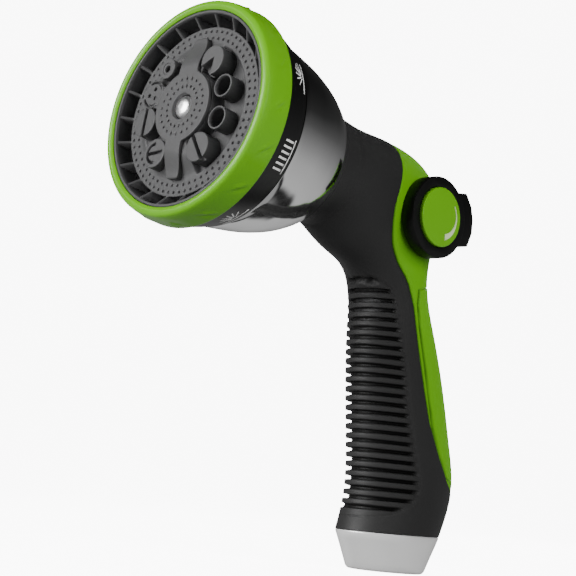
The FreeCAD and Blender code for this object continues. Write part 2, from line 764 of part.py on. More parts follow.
centre_screw = turned("centre_screw", [
    ("0", "-1.1"),
    ("screw_head_radius * 0.55", "-0.8"),
    ("screw_head_radius * 0.9", "0"),
    ("screw_head_radius", "0.9"),
    ("screw_head_radius", "3"),
    ("screw_radius", "3"),
    ("screw_radius", "screw_length"),
    ("0", "screw_length"),
])
screw_washer = turned("screw_washer", [
    ("screw_radius + 0.3", "3.1"),
    ("bush_radius - 0.4", "3.1"),
    ("bush_radius - 0.4", "3.7"),
    ("screw_radius + 0.3", "3.7"),
])

# ---- dial ------------------------------------------------------------------------------
bezel = turned("bezel", [
    ("bezel_bore", "0.7"),
    ("bezel_bore + 0.5", "0.1"),
    ("bezel_bore + 1.4", "-0.2"),
    ("bezel_bore + 2.6", "0.3"),
    ("bezel_front_radius - 0.6", "1.6"),
    ("bezel_front_radius", "3.2"),
    ("bezel_rear_radius", "bezel_depth - 1"),
    ("bezel_rear_radius - 0.3", "bezel_depth"),
    ("bezel_bore", "bezel_depth"),
])
dial_shell = turned("dial_shell", [
    ("face_rim_radius + seat_gap", "bezel_depth + seat_gap"),
    ("band_front_radius", "bezel_depth + seat_gap"),
    ("band_rear_radius", "dial_rear_depth"),
    ("bush_radius + seat_gap", "dial_rear_depth"),
    ("bush_radius + seat_gap", "face_depth + face_thickness + 0.3"),
    ("bush_radius + 3", "face_depth + face_thickness + 0.3"),
    ("bush_radius + 3", "dial_rear_depth - dial_wall"),
    ("band_rear_radius - 2.4", "dial_rear_depth - dial_wall"),
    ("band_rear_radius - 2.2", "recess_floor_depth + 2.3"),
    ("face_rim_radius + seat_gap", "recess_floor_depth + 2.3"),
])
dial_inlet = pin_pocket(dial_shell, "dial_inlet", "port_bore", "port_circle_radius", "port_angle",
                         "dial_rear_depth")
around(dial_shell, dial_inlet, "detent_count")

dial_bush = turned("dial_bush", [
    ("screw_radius + screw_clearance", "4"),
    ("bush_radius", "4"),
    ("bush_radius", "dial_rear_depth"),
    ("screw_radius + screw_clearance", "dial_rear_depth"),
])

face_plate = turned("face_plate", [
    ("bush_radius + 0.2", "face_depth"),
    ("dome_radius", "face_depth"),
    ("dome_foot_radius", "face_depth + dome_drop"),
    ("face_disc_radius", "face_depth + dome_drop"),
    ("face_disc_radius", "recess_floor_depth"),
    ("face_rim_radius - face_rim_wall", "recess_floor_depth"),
    ("face_rim_radius - face_rim_wall", "face_depth - 0.1"),
    ("face_rim_radius", "face_depth - 0.1"),
    ("face_rim_radius", "recess_floor_depth + 2"),
    ("face_disc_radius - 1.8", "recess_floor_depth + 2"),
    ("face_disc_radius - 1.8", "face_depth + dome_drop + face_thickness"),
    ("dome_foot_radius", "face_depth + dome_drop + face_thickness"),
    ("dome_radius", "face_depth + face_thickness"),
    ("bush_radius + 0.2", "face_depth + face_thickness"),
])
rib_sketch = new_sketch(face_plate, "face_rib", "XY_Plane", "-recess_floor_depth - 0.5")
outline(rib_sketch, [
    ("face_disc_radius - 0.5", "-face_rib_thickness / 2"),
    ("face_rim_radius - 0.5", "-face_rib_thickness / 2"),
    ("face_rim_radius - 0.5", "face_rib_thickness / 2"),
    ("face_disc_radius - 0.5", "face_rib_thickness / 2"),
])
face_rib = padded(face_plate, rib_sketch, "recess_floor_depth - face_depth - dome_drop / 2")
around(face_plate, face_rib, "face_rib_count")

# Each outlet on the face: name, angle about the spray axis, disc radius.
outlets = [
    ("stream_tube_high", "18", "tube_radius"),
    ("vee_disc", "56", "slot_disc_radius"),
    ("jet_nozzle", "128", "jet_radius"),
    ("shower_disc", "160", "shower_radius"),
    ("slot_disc_left", "192", "slot_disc_radius"),
    ("arc_disc", "238", "slot_disc_radius"),
    ("slot_disc_low", "306", "slot_disc_radius"),
    ("stream_tube_low", "343", "tube_radius"),
]
for name, angle, radius in outlets:
    pin_pocket(face_plate, name + "_seat", radius + " + seat_gap", "outlet_circle_radius", angle,
               "face_depth")
pin_pocket(face_plate, "pin_hole_outer", "pin_hole_radius", "pin_ring_outer", "0", "face_depth",
           "pin_count_outer")
pin_pocket(face_plate, "pin_hole_inner", "pin_hole_radius", "pin_ring_inner", "0", "face_depth",
           "pin_count_inner")

hub_disc = turned("hub_disc", [
    ("screw_head_radius + 0.5", "hub_front_depth"),
    ("hub_radius - 0.5", "hub_front_depth"),
    ("hub_radius", "hub_front_depth + 0.5"),
    ("hub_radius", "face_depth - 0.02"),
    ("screw_head_radius + 0.5", "face_depth - 0.02"),
])
for name, sign in (("leg_up", ""), ("leg_down", "-")):
    sketch = new_sketch(hub_disc, name, "XY_Plane", "-(face_depth - 0.02)")
    outline(sketch, [
        ("-leg_width / 2", sign + "(hub_radius - 3)"),
        ("leg_width / 2", sign + "(hub_radius - 3)"),
        ("leg_width / 4", sign + "(leg_reach - 1)"),
        ("0", sign + "leg_reach"),
        ("-leg_width / 4", sign + "(leg_reach - 1)"),
    ])
    padded(hub_disc, sketch, "face_depth - 0.02 - hub_front_depth - 0.3")


def outlet_sketch(body, name, angle, depth):
    """A sketch at an outlet's place, its x pointing away from the dial's centre."""
    sketch = new_sketch(body, name, "XY_Plane", "-(%s)" % depth)
    sketch.AttachmentOffset = FreeCAD.Placement(
        FreeCAD.Vector(), FreeCAD.Rotation(upward, float(angle)))
    bind(sketch, ".AttachmentOffset.Base.x", "outlet_circle_radius * cos(%s)" % angle)
    bind(sketch, ".AttachmentOffset.Base.y", "outlet_circle_radius * sin(%s)" % angle)
    return sketch


outlet_end = "dial_rear_depth - dial_wall - seat_gap"
fronts = {"jet_nozzle": "1.8", "shower_disc": "0.2", "vee_disc": "1.4"}
for name, angle, radius in outlets:
    rise = fronts.get(name, "1.0")
    body = new_body(name)
    put_in_head(body)
    sketch = outlet_sketch(body, name + "_outline", angle, outlet_end)
    circle(sketch, radius)
    padded(body, sketch, outlet_end + " + %s - face_depth" % rise)
    if name.startswith("stream_tube") or name == "jet_nozzle":
        sketch = outlet_sketch(body, name + "_bore", angle, outlet_end)
        circle(sketch, "jet_bore" if name == "jet_nozzle" else "tube_bore")
        padded(body, sketch, "3 * dial_rear_depth", "PartDesign::Pocket", both=True)
        continue
    # The disc's back is hollow, so water reaches the slots and holes in its front.
    sketch = outlet_sketch(body, name + "_hollow", angle, outlet_end)
    circle(sketch, radius + " - 1.2")
    padded(body, sketch, outlet_end + " + %s - face_depth - 2.5" % rise,
           "PartDesign::Pocket", reverse=True)
    if name == "shower_disc":
        for turn in (0, 120, 240):
            sketch = outlet_sketch(body, "shower_hole_%d" % turn, angle, "0")
            circle(sketch, "shower_hole_radius",
                   ("shower_radius * 0.42 * cos(%d)" % turn, "shower_radius * 0.42 * sin(%d)" % turn))
            padded(body, sketch, "2 * dial_rear_depth", "PartDesign::Pocket", both=True)
        continue
    sketch = outlet_sketch(body, name + "_slot", angle, "0")
    if name == "vee_disc":
        outline(sketch, [
            ("-slot_disc_radius * 1.2", "-slot_disc_radius * 0.55"),
            ("slot_disc_radius * 0.5", "0"),
            ("-slot_disc_radius * 1.2", "slot_disc_radius * 0.55"),
        ])
        padded(body, sketch, "2 * vee_depth", "PartDesign::Pocket", both=True)
    else:
        outline(sketch, [
            ("-slot_width / 2", "-(slot_disc_radius + 1)"),
            ("slot_width / 2", "-(slot_disc_radius + 1)"),
            ("slot_width / 2", "slot_disc_radius + 1"),
            ("-slot_width / 2", "slot_disc_radius + 1"),
        ])
        padded(body, sketch, "2 * slot_depth", "PartDesign::Pocket", both=True)
        sketch = outlet_sketch(body, name + "_jet", angle, "0")
        circle(sketch, "slot_width")
        padded(body, sketch, "2 * dial_rear_depth", "PartDesign::Pocket", both=True)

# ---- check and write ---------------------------------------------------------------------
nodes = [
    "grip_cover", "spine_cover", "body_core", "base_collar", "inlet_insert",
    "hose_washer", "filter_screen", "spool_sleeve", "bell_shroud", "bell_seal", "port_plate",
    "port_seal", "port_spring", "detent_ball", "detent_spring", "centre_screw", "screw_washer",
    "bezel", "dial_shell", "dial_bush", "face_plate", "hub_disc",
    "thumb_yoke", "cap_right", "cap_left", "flow_mark_right", "flow_mark_left", "valve_spool",
    "spool_oring_right", "spool_oring_left", "cap_screws",
]
nodes.extend(name for name, angle, radius in outlets)

doc.recompute()
for item in doc.Objects:
    if "Invalid" in item.State or "Error" in item.State:
        raise RuntimeError("%s failed: %s" % (item.Label, item.State))
os.makedirs("parts", exist_ok=True)
for node in nodes:
    item = doc.getObjectsByLabel(node)[0]
    if item.Shape.isNull() or not item.Shape.isValid():
        raise RuntimeError(node + " has no valid shape")
for node in nodes:
    item = doc.getObjectsByLabel(node)[0]
    item.Shape.exportStep(os.path.join("parts", node + ".step"))
    print("%-20s solids %d  volume %.1f mm3" % (node, len(item.Shape.Solids), item.Shape.Volume))
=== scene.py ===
import bmesh
import bpy
import json
import math
import numpy as np
from mathutils import Matrix, Vector

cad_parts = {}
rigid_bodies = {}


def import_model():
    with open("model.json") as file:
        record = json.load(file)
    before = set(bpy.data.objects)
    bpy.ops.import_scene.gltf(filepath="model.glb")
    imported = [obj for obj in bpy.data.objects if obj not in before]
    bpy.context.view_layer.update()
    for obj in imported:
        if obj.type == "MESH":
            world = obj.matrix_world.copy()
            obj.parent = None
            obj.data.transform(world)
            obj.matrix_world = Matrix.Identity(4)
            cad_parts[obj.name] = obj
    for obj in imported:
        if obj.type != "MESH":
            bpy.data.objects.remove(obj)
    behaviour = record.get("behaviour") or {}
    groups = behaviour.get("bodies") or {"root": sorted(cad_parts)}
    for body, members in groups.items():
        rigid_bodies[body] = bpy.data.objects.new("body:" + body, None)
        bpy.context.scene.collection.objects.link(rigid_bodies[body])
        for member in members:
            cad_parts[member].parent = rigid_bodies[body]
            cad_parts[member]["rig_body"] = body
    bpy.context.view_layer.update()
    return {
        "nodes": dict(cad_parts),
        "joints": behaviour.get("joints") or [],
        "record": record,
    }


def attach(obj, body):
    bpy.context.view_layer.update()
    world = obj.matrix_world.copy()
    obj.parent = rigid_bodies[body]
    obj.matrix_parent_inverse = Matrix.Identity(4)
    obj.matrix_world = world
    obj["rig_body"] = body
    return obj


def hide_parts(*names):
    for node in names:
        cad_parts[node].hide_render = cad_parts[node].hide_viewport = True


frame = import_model()
nodes = frame["nodes"]
joints = {joint["name"]: joint for joint in frame["joints"]}
mm = 0.001

# the head's own frame: its origin is the middle of the dial's face, and depth runs back from it
faceCentre = np.array(joints["dial_turn"]["pos_m"]) / mm
sprayWay = np.array(joints["dial_turn"]["axis"], float)
sprayWay = sprayWay / np.linalg.norm(sprayWay)
acrossWay = np.array([1.0, 0.0, 0.0])
upWay = np.cross(sprayWay, acrossWay)


# ---- shader maths

def feed(tree, socket, item):
    # a link where the item is a shader value, a plain setting where it is a number or colour
    if isinstance(item, Shade):
        tree.links.new(item.socket, socket)
    elif item is not None:
        socket.default_value = item


class Shade:
    # one output socket; arithmetic on it adds Math nodes
    def __init__(self, tree, socket):
        self.tree = tree
        self.socket = socket

    def calc(self, operation, *items):
        return addNode(self.tree, "ShaderNodeMath", {"operation": operation}, list(items))

    def __add__(self, other):
        return self.calc("ADD", self, other)

    def __mul__(self, other):
        return self.calc("MULTIPLY", self, other)


def addNode(tree, kind, settings, inputs, output=0):
    # inputs is a list in socket order, or a dictionary by socket name
    node = tree.nodes.new(kind)
    for key, item in settings.items():
        if key == "stops":
            for place, (position, colour) in enumerate(item):
                # a new ramp already holds two stops
                ramp = node.color_ramp.elements
                stop = ramp[place] if place < 2 else ramp.new(position)
                stop.position = position
                stop.color = colour
        else:
            setattr(node, key, item)
    pairs = inputs.items() if isinstance(inputs, dict) else enumerate(inputs)
    for key, item in pairs:
        feed(tree, node.inputs[key], item)
    return Shade(tree, node.outputs[output])


def objectPlace(tree):
    return addNode(tree, "ShaderNodeTexCoord", {}, [], "Object")


def noise(tree, scale, detail=3.0, roughness=0.5):
    return addNode(tree, "ShaderNodeTexNoise", {},
                   {"Vector": objectPlace(tree), "Scale": scale, "Detail": detail,
                    "Roughness": roughness}, "Fac")


def grains(tree, scale):
    return addNode(tree, "ShaderNodeTexVoronoi", {"feature": "F1"},
                   {"Vector": objectPlace(tree), "Scale": scale}, "Distance")


def band(tree, value, low, high):
    # 0 below low, 1 above high, smooth between
    return addNode(tree, "ShaderNodeMapRange", {"interpolation_type": "SMOOTHSTEP"},
                   {"Value": value, "From Min": low, "From Max": high})


def blendColour(tree, share, first, second):
    # sockets 0, 6 and 7 of a colour mix are its share and its two colours, output 2 is the result
    return addNode(tree, "ShaderNodeMix", {"data_type": "RGBA"}, {0: share, 6: first, 7: second}, 2)


def bump(tree, height, strength, distance):
    return addNode(tree, "ShaderNodeBump", {},
                   {"Strength": strength, "Distance": distance, "Height": height})


def newMaterial(name, **fixed):
    material = bpy.data.materials.new(name)
    material.use_nodes = True
    tree = material.node_tree
    shader = tree.nodes["Principled BSDF"]
    for key, item in fixed.items():
        shader.inputs[key.replace("_", " ")].default_value = item
    return material, tree, shader


def plasticMaterial(name, colour, roughness, grain, grainHeight, mottle=0.12, coat=0.0, wear=0.0,
                    paintedGrooveShade=0.0):
    # moulded plastic or soft-touch rubber: faint colour drift, fine grain, roughness that wanders,
    # and where asked painted shade that darkens the grooves by their depth
    material, tree, shader = newMaterial(name, Coat_Weight=coat, Coat_Roughness=0.15,
                                         Specular_IOR_Level=0.3)
    drift = noise(tree, 55.0, 4.0, 0.55)
    dark = [channel * (1 - mottle) for channel in colour] + [1.0]
    light = [min(1.0, channel * (1 + mottle)) for channel in colour] + [1.0]
    mixed = blendColour(tree, drift, dark, light)
    if wear:
        scuffs = band(tree, noise(tree, 420.0, 6.0, 0.7), 0.62, 0.72)
        worn = [min(1.0, channel * 1.5 + 0.03) for channel in colour] + [1.0]
        mixed = blendColour(tree, scuffs * wear, mixed, worn)
    if paintedGrooveShade:
        # painted shade: the grooves are darkened toward near black by how deep each point lies,
        # standing in for the shade that falls in them
        deep = addNode(tree, "ShaderNodeAttribute", {"attribute_name": "hollow"}, [], "Fac")
        shaded = [channel * 0.06 for channel in colour] + [1.0]
        mixed = blendColour(tree, deep * paintedGrooveShade, mixed, shaded)
    feed(tree, shader.inputs["Base Color"], mixed)
    wander = noise(tree, 160.0, 3.0) * 0.12 + (roughness - 0.06)
    feed(tree, shader.inputs["Roughness"], wander)
    fine = noise(tree, grain, 2.0, 0.6)
    feed(tree, shader.inputs["Normal"], bump(tree, fine, 0.35, grainHeight))
    return material


def chromeMaterial(name, tint, roughness):
    # bright plating with a very faint orange-peel and a few soft rub marks
    material, tree, shader = newMaterial(name, Metallic=1.0)
    drift = noise(tree, 90.0, 3.0)
    dull = [channel * 0.94 for channel in tint] + [1.0]
    feed(tree, shader.inputs["Base Color"], blendColour(tree, drift, dull, list(tint) + [1.0]))
    rubs = noise(tree, 700.0, 5.0, 0.65)
    feed(tree, shader.inputs["Roughness"], band(tree, rubs, 0.45, 0.85) * 0.05 + roughness)
    feed(tree, shader.inputs["Normal"], bump(tree, noise(tree, 260.0, 2.0), 0.05, 0.00004))
    return material


def pearlMaterial(name):
    # silver paint with tiny flakes under a soft coat
    material, tree, shader = newMaterial(name, Coat_Weight=0.35, Coat_Roughness=0.2)
    flakes = grains(tree, 5200.0)
    shade = noise(tree, 40.0, 3.0)
    base = blendColour(tree, shade, [0.78, 0.78, 0.77, 1.0], [0.88, 0.88, 0.87, 1.0])
    sparkle = band(tree, flakes, 0.1, 0.5) * 0.35
    feed(tree, shader.inputs["Base Color"],
         blendColour(tree, sparkle, base, [0.95, 0.95, 0.95, 1.0]))
    feed(tree, shader.inputs["Metallic"], band(tree, flakes, 0.0, 0.6) * 0.25 + 0.2)
    feed(tree, shader.inputs["Roughness"], noise(tree, 900.0, 2.0) * 0.15 + 0.3)
    feed(tree, shader.inputs["Normal"], bump(tree, flakes, 0.12, 0.00005))
    return material


def turnedMetal(name, colour, roughness):
    # machined metal: rings left by the tool along Z, softened with noise
    material, tree, shader = newMaterial(name, Metallic=1.0)
    rings = addNode(tree, "ShaderNodeTexWave", {"wave_type": "BANDS", "bands_direction": "Z"},
                    {"Vector": objectPlace(tree), "Scale": 900.0, "Distortion": 1.2, "Detail": 2.0},
                    "Fac")
    stain = noise(tree, 130.0, 4.0)
    tarnished = [channel * 0.8 for channel in colour] + [1.0]
    feed(tree, shader.inputs["Base Color"],
         blendColour(tree, stain, tarnished, list(colour) + [1.0]))
    feed(tree, shader.inputs["Roughness"], rings * 0.1 + roughness)
    feed(tree, shader.inputs["Normal"], bump(tree, rings, 0.12, 0.00004))
    return material


# the grip's rib grooves and the spine's pad crease get painted shade from their depth
darkGrip = plasticMaterial("darkGrip", (0.021, 0.021, 0.021), 0.55, 2600.0, 0.00012, 0.10,
                           wear=0.05, paintedGrooveShade=1.0)
limeGrip = plasticMaterial("limeGrip", (0.115, 0.385, 0.002), 0.48, 2600.0, 0.00008, 0.05,
                           paintedGrooveShade=0.75)
limeGloss = plasticMaterial("limeGloss", (0.120, 0.385, 0.003), 0.36, 1800.0, 0.00003, 0.04,
                            coat=0.2)
darkCore = plasticMaterial("darkCore", (0.015, 0.015, 0.016), 0.5, 2200.0, 0.00006)
bandBlack = plasticMaterial("bandBlack", (0.003, 0.003, 0.003), 0.34, 1600.0, 0.00003, 0.1)
faceDark = plasticMaterial("faceDark", (0.062, 0.062, 0.063), 0.45, 2400.0, 0.00006, 0.10)
thumbBlack = plasticMaterial("thumbBlack", (0.005, 0.005, 0.005), 0.42, 2200.0, 0.00005, 0.1)
markWhite = plasticMaterial("markWhite", (0.60, 0.74, 0.40), 0.45, 1800.0, 0.00003, 0.03)
iconWhite = plasticMaterial("iconWhite", (0.85, 0.85, 0.84), 0.5, 2400.0, 0.00003, 0.03)
bushWhite = plasticMaterial("bushWhite", (0.62, 0.61, 0.57), 0.5, 1800.0, 0.00004)
sealRubber = plasticMaterial("sealRubber", (0.012, 0.012, 0.012), 0.7, 3000.0, 0.00008)
chrome = chromeMaterial("chrome", (0.80, 0.80, 0.80), 0.09)
screwChrome = chromeMaterial("screwChrome", (0.95, 0.95, 0.95), 0.3)
silverPearl = pearlMaterial("silverPearl")
brassTurned = turnedMetal("brassTurned", (0.72, 0.52, 0.24), 0.28)
steelBright = turnedMetal("steelBright", (0.60, 0.60, 0.61), 0.25)

slotFinish = {
    "dark_grip": darkGrip, "lime_grip": limeGrip, "dark_core": darkCore, "silver": silverPearl,
    "brass_insert": brassTurned, "seal_rubber": sealRubber, "steel": steelBright,
    "chrome": chrome, "lime_gloss": limeGloss, "band_black": bandBlack, "bush_white": bushWhite,
    "face_dark": faceDark, "thumb_black": thumbBlack, "mark_white": markWhite,
}
for entry in frame["record"]["subparts"]:
    node = nodes[entry["node"]]
    node.data.materials.clear()
    node.data.materials.append(slotFinish[entry["material_slot"]])
print("stage: materials")


# ---- surfaces

def splineThrough(knots, values, places):
    # natural cubic spline: second derivatives at the knots from one linear system, then the cubic
    # of each span
    knots = np.asarray(knots, float)
    values = np.asarray(values, float)
    count = len(knots)
    gaps = np.diff(knots)
    system = np.eye(count)
    right = np.zeros(count)
    inner = np.arange(1, count - 1)
    system[inner, inner - 1] = gaps[:-1]
    system[inner, inner] = 2 * (gaps[:-1] + gaps[1:])
    system[inner, inner + 1] = gaps[1:]
    right[inner] = 6 * np.diff(np.diff(values) / gaps)
    bend = np.linalg.solve(system, right)
    span = np.clip(np.searchsorted(knots, places) - 1, 0, count - 2)
    gap = gaps[span]
    near = (knots[span + 1] - places) / gap
    far = (places - knots[span]) / gap
    return (near * values[span] + far * values[span + 1]
            + ((near ** 3 - near) * bend[span] + (far ** 3 - far) * bend[span + 1]) * gap ** 2 / 6)


def smoothStep(value, low, high):
    share = np.clip((value - low) / (high - low), 0, 1)
    return share * share * (3 - 2 * share)


def gridFaces(rows, columns, closeRows=False, closeColumns=False):
    # quads between neighbouring rows and columns of a grid of points
    row = np.arange(rows if closeRows else rows - 1)
    column = np.arange(columns if closeColumns else columns - 1)
    row, column = np.meshgrid(row, column, indexing="ij")
    nextRow = (row + 1) % rows
    nextColumn = (column + 1) % columns
    corners = [row * columns + column, nextRow * columns + column,
               nextRow * columns + nextColumn, row * columns + nextColumn]
    return np.stack(corners, -1).reshape(-1, 4)


def makePiece(name, points, faces, material, body, replaced=(), closed=True, thickness=0.0):
    # points in millimetres, one row per vertex
    mesh = bpy.data.meshes.new(name)
    metres = np.asarray(points).reshape(-1, 3) * mm
    mesh.from_pydata(metres.tolist(), [], np.asarray(faces).tolist())
    if closed:
        work = bmesh.new()
        work.from_mesh(mesh)
        bmesh.ops.remove_doubles(work, verts=work.verts, dist=2e-6)
        bmesh.ops.dissolve_degenerate(work, edges=work.edges, dist=1e-7)
        bmesh.ops.recalc_face_normals(work, faces=work.faces)
        work.to_mesh(mesh)
        work.free()
    mesh.shade_smooth()
    piece = bpy.data.objects.new(name, mesh)
    bpy.context.scene.collection.objects.link(piece)
    mesh.materials.append(material)
    if thickness:
        solidify = piece.modifiers.new("wall", "SOLIDIFY")
        solidify.thickness = thickness * mm
        solidify.offset = -1
    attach(piece, body)
    if replaced:
        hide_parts(*replaced)
    return piece


def roundedOutline(corners, steps=5):
    # a closed outline of (radius, depth, rounding): each corner becomes a short curve between the
    # points that its rounding leaves on its two sides
    corners = np.asarray(corners, float)
    place = corners[:, :2]
    before = np.roll(place, 1, 0) - place
    after = np.roll(place, -1, 0) - place
    lengthBefore = np.linalg.norm(before, axis=1)
    lengthAfter = np.linalg.norm(after, axis=1)
    reach = np.minimum(corners[:, 2], 0.48 * np.minimum(lengthBefore, lengthAfter))
    start = place + before / lengthBefore[:, None] * reach[:, None]
    end = place + after / lengthAfter[:, None] * reach[:, None]
    share = np.linspace(0, 1, steps)[None, :, None]
    curve = (start[:, None] * (1 - share) ** 2 + 2 * place[:, None] * share * (1 - share)
             + end[:, None] * share ** 2)
    curve = curve.reshape(-1, 2)
    keep = np.linalg.norm(curve - np.roll(curve, 1, 0), axis=1) > 1e-4
    return curve[keep]


def evenly(outline, gap):
    # the same closed outline with points added about every gap along it
    path = np.vstack([outline, outline[:1]])
    length = np.linalg.norm(np.diff(path, axis=0), axis=1)
    travelled = np.concatenate([[0], np.cumsum(length)])
    extra = np.linspace(0, travelled[-1], max(2, int(travelled[-1] / gap)) + 1)
    places = np.unique(np.round(np.concatenate([travelled, extra]), 4))[:-1]
    return np.stack([np.interp(places, travelled, path[:, axis]) for axis in (0, 1)], -1)


def headPoint(radius, depth, turn):
    # a point of the head's frame: radius out from the spray axis at an angle, depth back from the
    # face
    radius = np.asarray(radius)[..., None]
    turn = np.asarray(turn)[..., None]
    return (faceCentre - sprayWay * np.asarray(depth)[..., None]
            + radius * (np.cos(turn) * acrossWay + np.sin(turn) * upWay))


def lathe(name, outline, material, body, replaced, around, relief=None):
    # an outline of (radius, depth) carried round the spray axis; relief lifts points outward
    turns = np.linspace(0, 2 * np.pi, around, endpoint=False)
    radius, turn = np.meshgrid(outline[:, 0], turns, indexing="ij")
    depth = np.repeat(outline[:, 1][:, None], around, 1)
    if relief is not None:
        radius = radius + relief(radius, depth, turn)
    points = headPoint(radius, depth, turn)
    faces = gridFaces(len(outline), around, True, True)
    return makePiece(name, points, faces, material, body, replaced)


def bevelledCopy(node, width, segments=2):
    # a CAD piece with its sharp edges broken, so that they catch the light
    mesh = nodes[node].data.copy()
    mesh.name = node + "_soft"
    work = bmesh.new()
    work.from_mesh(mesh)
    bmesh.ops.remove_doubles(work, verts=work.verts, dist=2e-6)
    bmesh.ops.dissolve_limit(work, angle_limit=math.radians(0.05), verts=work.verts,
                             edges=work.edges)
    work.to_mesh(mesh)
    work.free()
    mesh.shade_smooth()
    piece = bpy.data.objects.new(node + "_soft", mesh)
    bpy.context.scene.collection.objects.link(piece)
    edge = piece.modifiers.new("edges", "BEVEL")
    edge.width = width * mm
    edge.segments = segments
    edge.limit_method = "ANGLE"
    edge.angle_limit = math.radians(32)
    edge.harden_normals = True
    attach(piece, nodes[node]["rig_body"])
    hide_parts(node)


# ---- handle, elbow and neck

# millimetres
gripSizes = {
    "bottom": 15.4, "neckDepth": 63.0, "elbowHeight": 95.0, "elbowAhead": 8.5, "ribStep": 0.3,
    "plainStep": 1.3, "gripColumns": 104, "spineColumns": 104, "ribPitch": 3.72, "ribGap": 1.6,
    "ribDepth": 2.45, "ribRound": 0.3, "ribLowest": 24.95, "ribHighest": 116.5,
    "creaseDepth": 0.42, "creaseWidth": 0.55, "partingDepth": 0.45, "partingWidth": 0.55,
    "padRise": 0.15, "padCrease": 0.7, "padCreaseWidth": 0.6, "spineDrop": 0.2, "spineLowest": 26,
    "bumpRise": 0.4, "bumpLowest": 50.0, "bumpPitch": 16.2, "bumpCount": 4, "bumpTall": 2.0,
    "bumpWide": 6.0, "wall": 1.0,
}
# a ring has a lime strip where the strip's edge comes before this angle, in radians
spineStarts = np.pi / 2 - 0.02
# level ovals up the handle: height, behind the inlet's axis, half width, half depth
handleStations = [(15.4, -0.1, 18.6, 24.2), (24.0, 2.7, 18.4, 25.3), (36.0, 4.4, 18.0, 26.5),
                  (52.0, 1.9, 17.4, 25.9), (74.0, -3.2, 16.8, 24.0)]
# ovals fanned round the elbow: share of the turn, centre beyond the even curve, half width, half
# depth
elbowStations = [(0.0, 0.0, 16.6, 20.0), (0.22, 0.9, 16.6, 16.6), (0.435, 9.6, 17.0, 30.1),
                 (0.653, 4.8, 19.0, 27.5), (0.846, 1.2, 22.0, 21.6), (1.0, 0.0, 24.0, 24.0)]
# lines in the side view as (height, behind the inlet's axis)
spineLine = [(24.0, 40.0), (33.0, 24.0), (37.3, 16.8), (47.2, 8.6), (60.5, 0.7), (73.9, -4.3),
             (90.2, -9.8), (105.7, -14.6), (115.8, -19.2), (120.8, -23.8), (125.9, -27.4),
             (129.8, -29.6), (137.7, -32.2), (145.1, -33.0), (151.6, -31.6), (157.6, -29.2),
             (162.0, -28.3), (168.0, -28.0), (180.0, -27.0)]
padLine = [(30.0, 40.0), (39.6, 15.4), (48.5, 8.5), (58.2, 3.3), (69.9, -0.5), (83.2, -4.6),
           (97.1, -9.5), (106.9, -12.1), (113.0, -12.0), (116.0, 0.0), (119.0, 40.0)]
panelLine = [(19.6, -60.0), (20.9, -24.0), (22.0, -17.0), (24.2, -12.2), (27.8, -6.4),
             (33.6, -3.0), (39.5, -3.7), (47.0, -6.0), (57.0, -9.0), (68.7, -12.0),
             (80.4, -14.4), (88.2, -16.3), (95.9, -18.6), (101.7, -20.4), (107.5, -21.8),
             (111.2, -23.9), (114.3, -28.0), (116.2, -32.0), (117.4, -60.0)]


def lineAt(line, height):
    line = np.asarray(line)
    return np.interp(height, line[:, 0], line[:, 1])


def bodyRings():
    # centre, lean, half width and half depth of every ring, by a spline through the stations
    neckEnd = faceCentre - sprayWay * gripSizes["neckDepth"]
    tilt = math.asin(sprayWay[2])
    hinge = np.array([neckEnd[1] - (neckEnd[2] - gripSizes["elbowHeight"]) * math.tan(tilt),
                      gripSizes["elbowHeight"]])
    first = -gripSizes["elbowAhead"] - hinge[0]
    last = math.hypot(neckEnd[1] - hinge[0], neckEnd[2] - hinge[1])
    elbow = np.array(elbowStations)
    lean = (math.pi / 2 - tilt) * elbow[:, 0]
    distance = first + (last - first) * elbow[:, 0] + elbow[:, 1]
    handle = np.array(handleStations)
    behind = np.concatenate([handle[:, 1], hinge[0] + distance * np.cos(lean)])
    height = np.concatenate([handle[:, 0], hinge[1] + distance * np.sin(lean)])
    lean = np.concatenate([np.zeros(len(handle)), lean])
    wide = np.concatenate([handle[:, 2], elbow[:, 2]])
    deep = np.concatenate([handle[:, 3], elbow[:, 3]])
    knots = np.concatenate([[0], np.cumsum(np.hypot(np.diff(behind), np.diff(height)))])
    ribEnd = gripSizes["ribHighest"] - gripSizes["bottom"] + 3
    ribRows = int(ribEnd / gripSizes["ribStep"])
    plainRows = int((knots[-1] - ribEnd) / gripSizes["plainStep"])
    places = np.concatenate([np.linspace(0, ribEnd, ribRows, endpoint=False),
                             np.linspace(ribEnd, knots[-1], plainRows)])
    return [splineThrough(knots, values, places) for values in (behind, height, lean, wide, deep)]


def spineEdge(rings):
    # the angle on each ring where the lime strip starts: the last sample along the ring's depth
    # that is still ahead of the strip's line
    behind, height, lean, wide, deep = rings
    share = np.linspace(-1, 1, 1201)
    y = behind[:, None] + deep[:, None] * share * np.cos(lean)[:, None]
    z = height[:, None] + deep[:, None] * share * np.sin(lean)[:, None]
    ahead = y - lineAt(spineLine, z) < 0
    last = share.size - 1 - np.argmax(ahead[:, ::-1], axis=1)
    edge = share[last]
    edge = np.where(height < gripSizes["spineLowest"], 1.0, edge)
    kernel = np.ones(5) / 5
    edge[2:-2] = np.convolve(edge, kernel, "valid")
    return np.arcsin(np.clip(edge, -1, 1))


def ringPoints(rings, turns):
    behind, height, lean, wide, deep = [values[:, None] for values in rings]
    return np.stack([wide * np.cos(turns), behind + deep * np.sin(turns) * np.cos(lean),
                     height + deep * np.sin(turns) * np.sin(lean)], -1)


def outwardNormals(points, rings):
    # cross product of the grid's two directions, turned to point away from the ring's centre
    normal = np.cross(np.gradient(points, axis=1), np.gradient(points, axis=0))
    length = np.linalg.norm(normal, axis=-1, keepdims=True)
    normal = normal / np.maximum(length, 1e-9)
    centre = np.stack([rings[0] * 0, rings[0], rings[1]], -1)[:, None]
    side = np.sign(((points - centre) * normal).sum(-1, keepdims=True))
    return normal * side


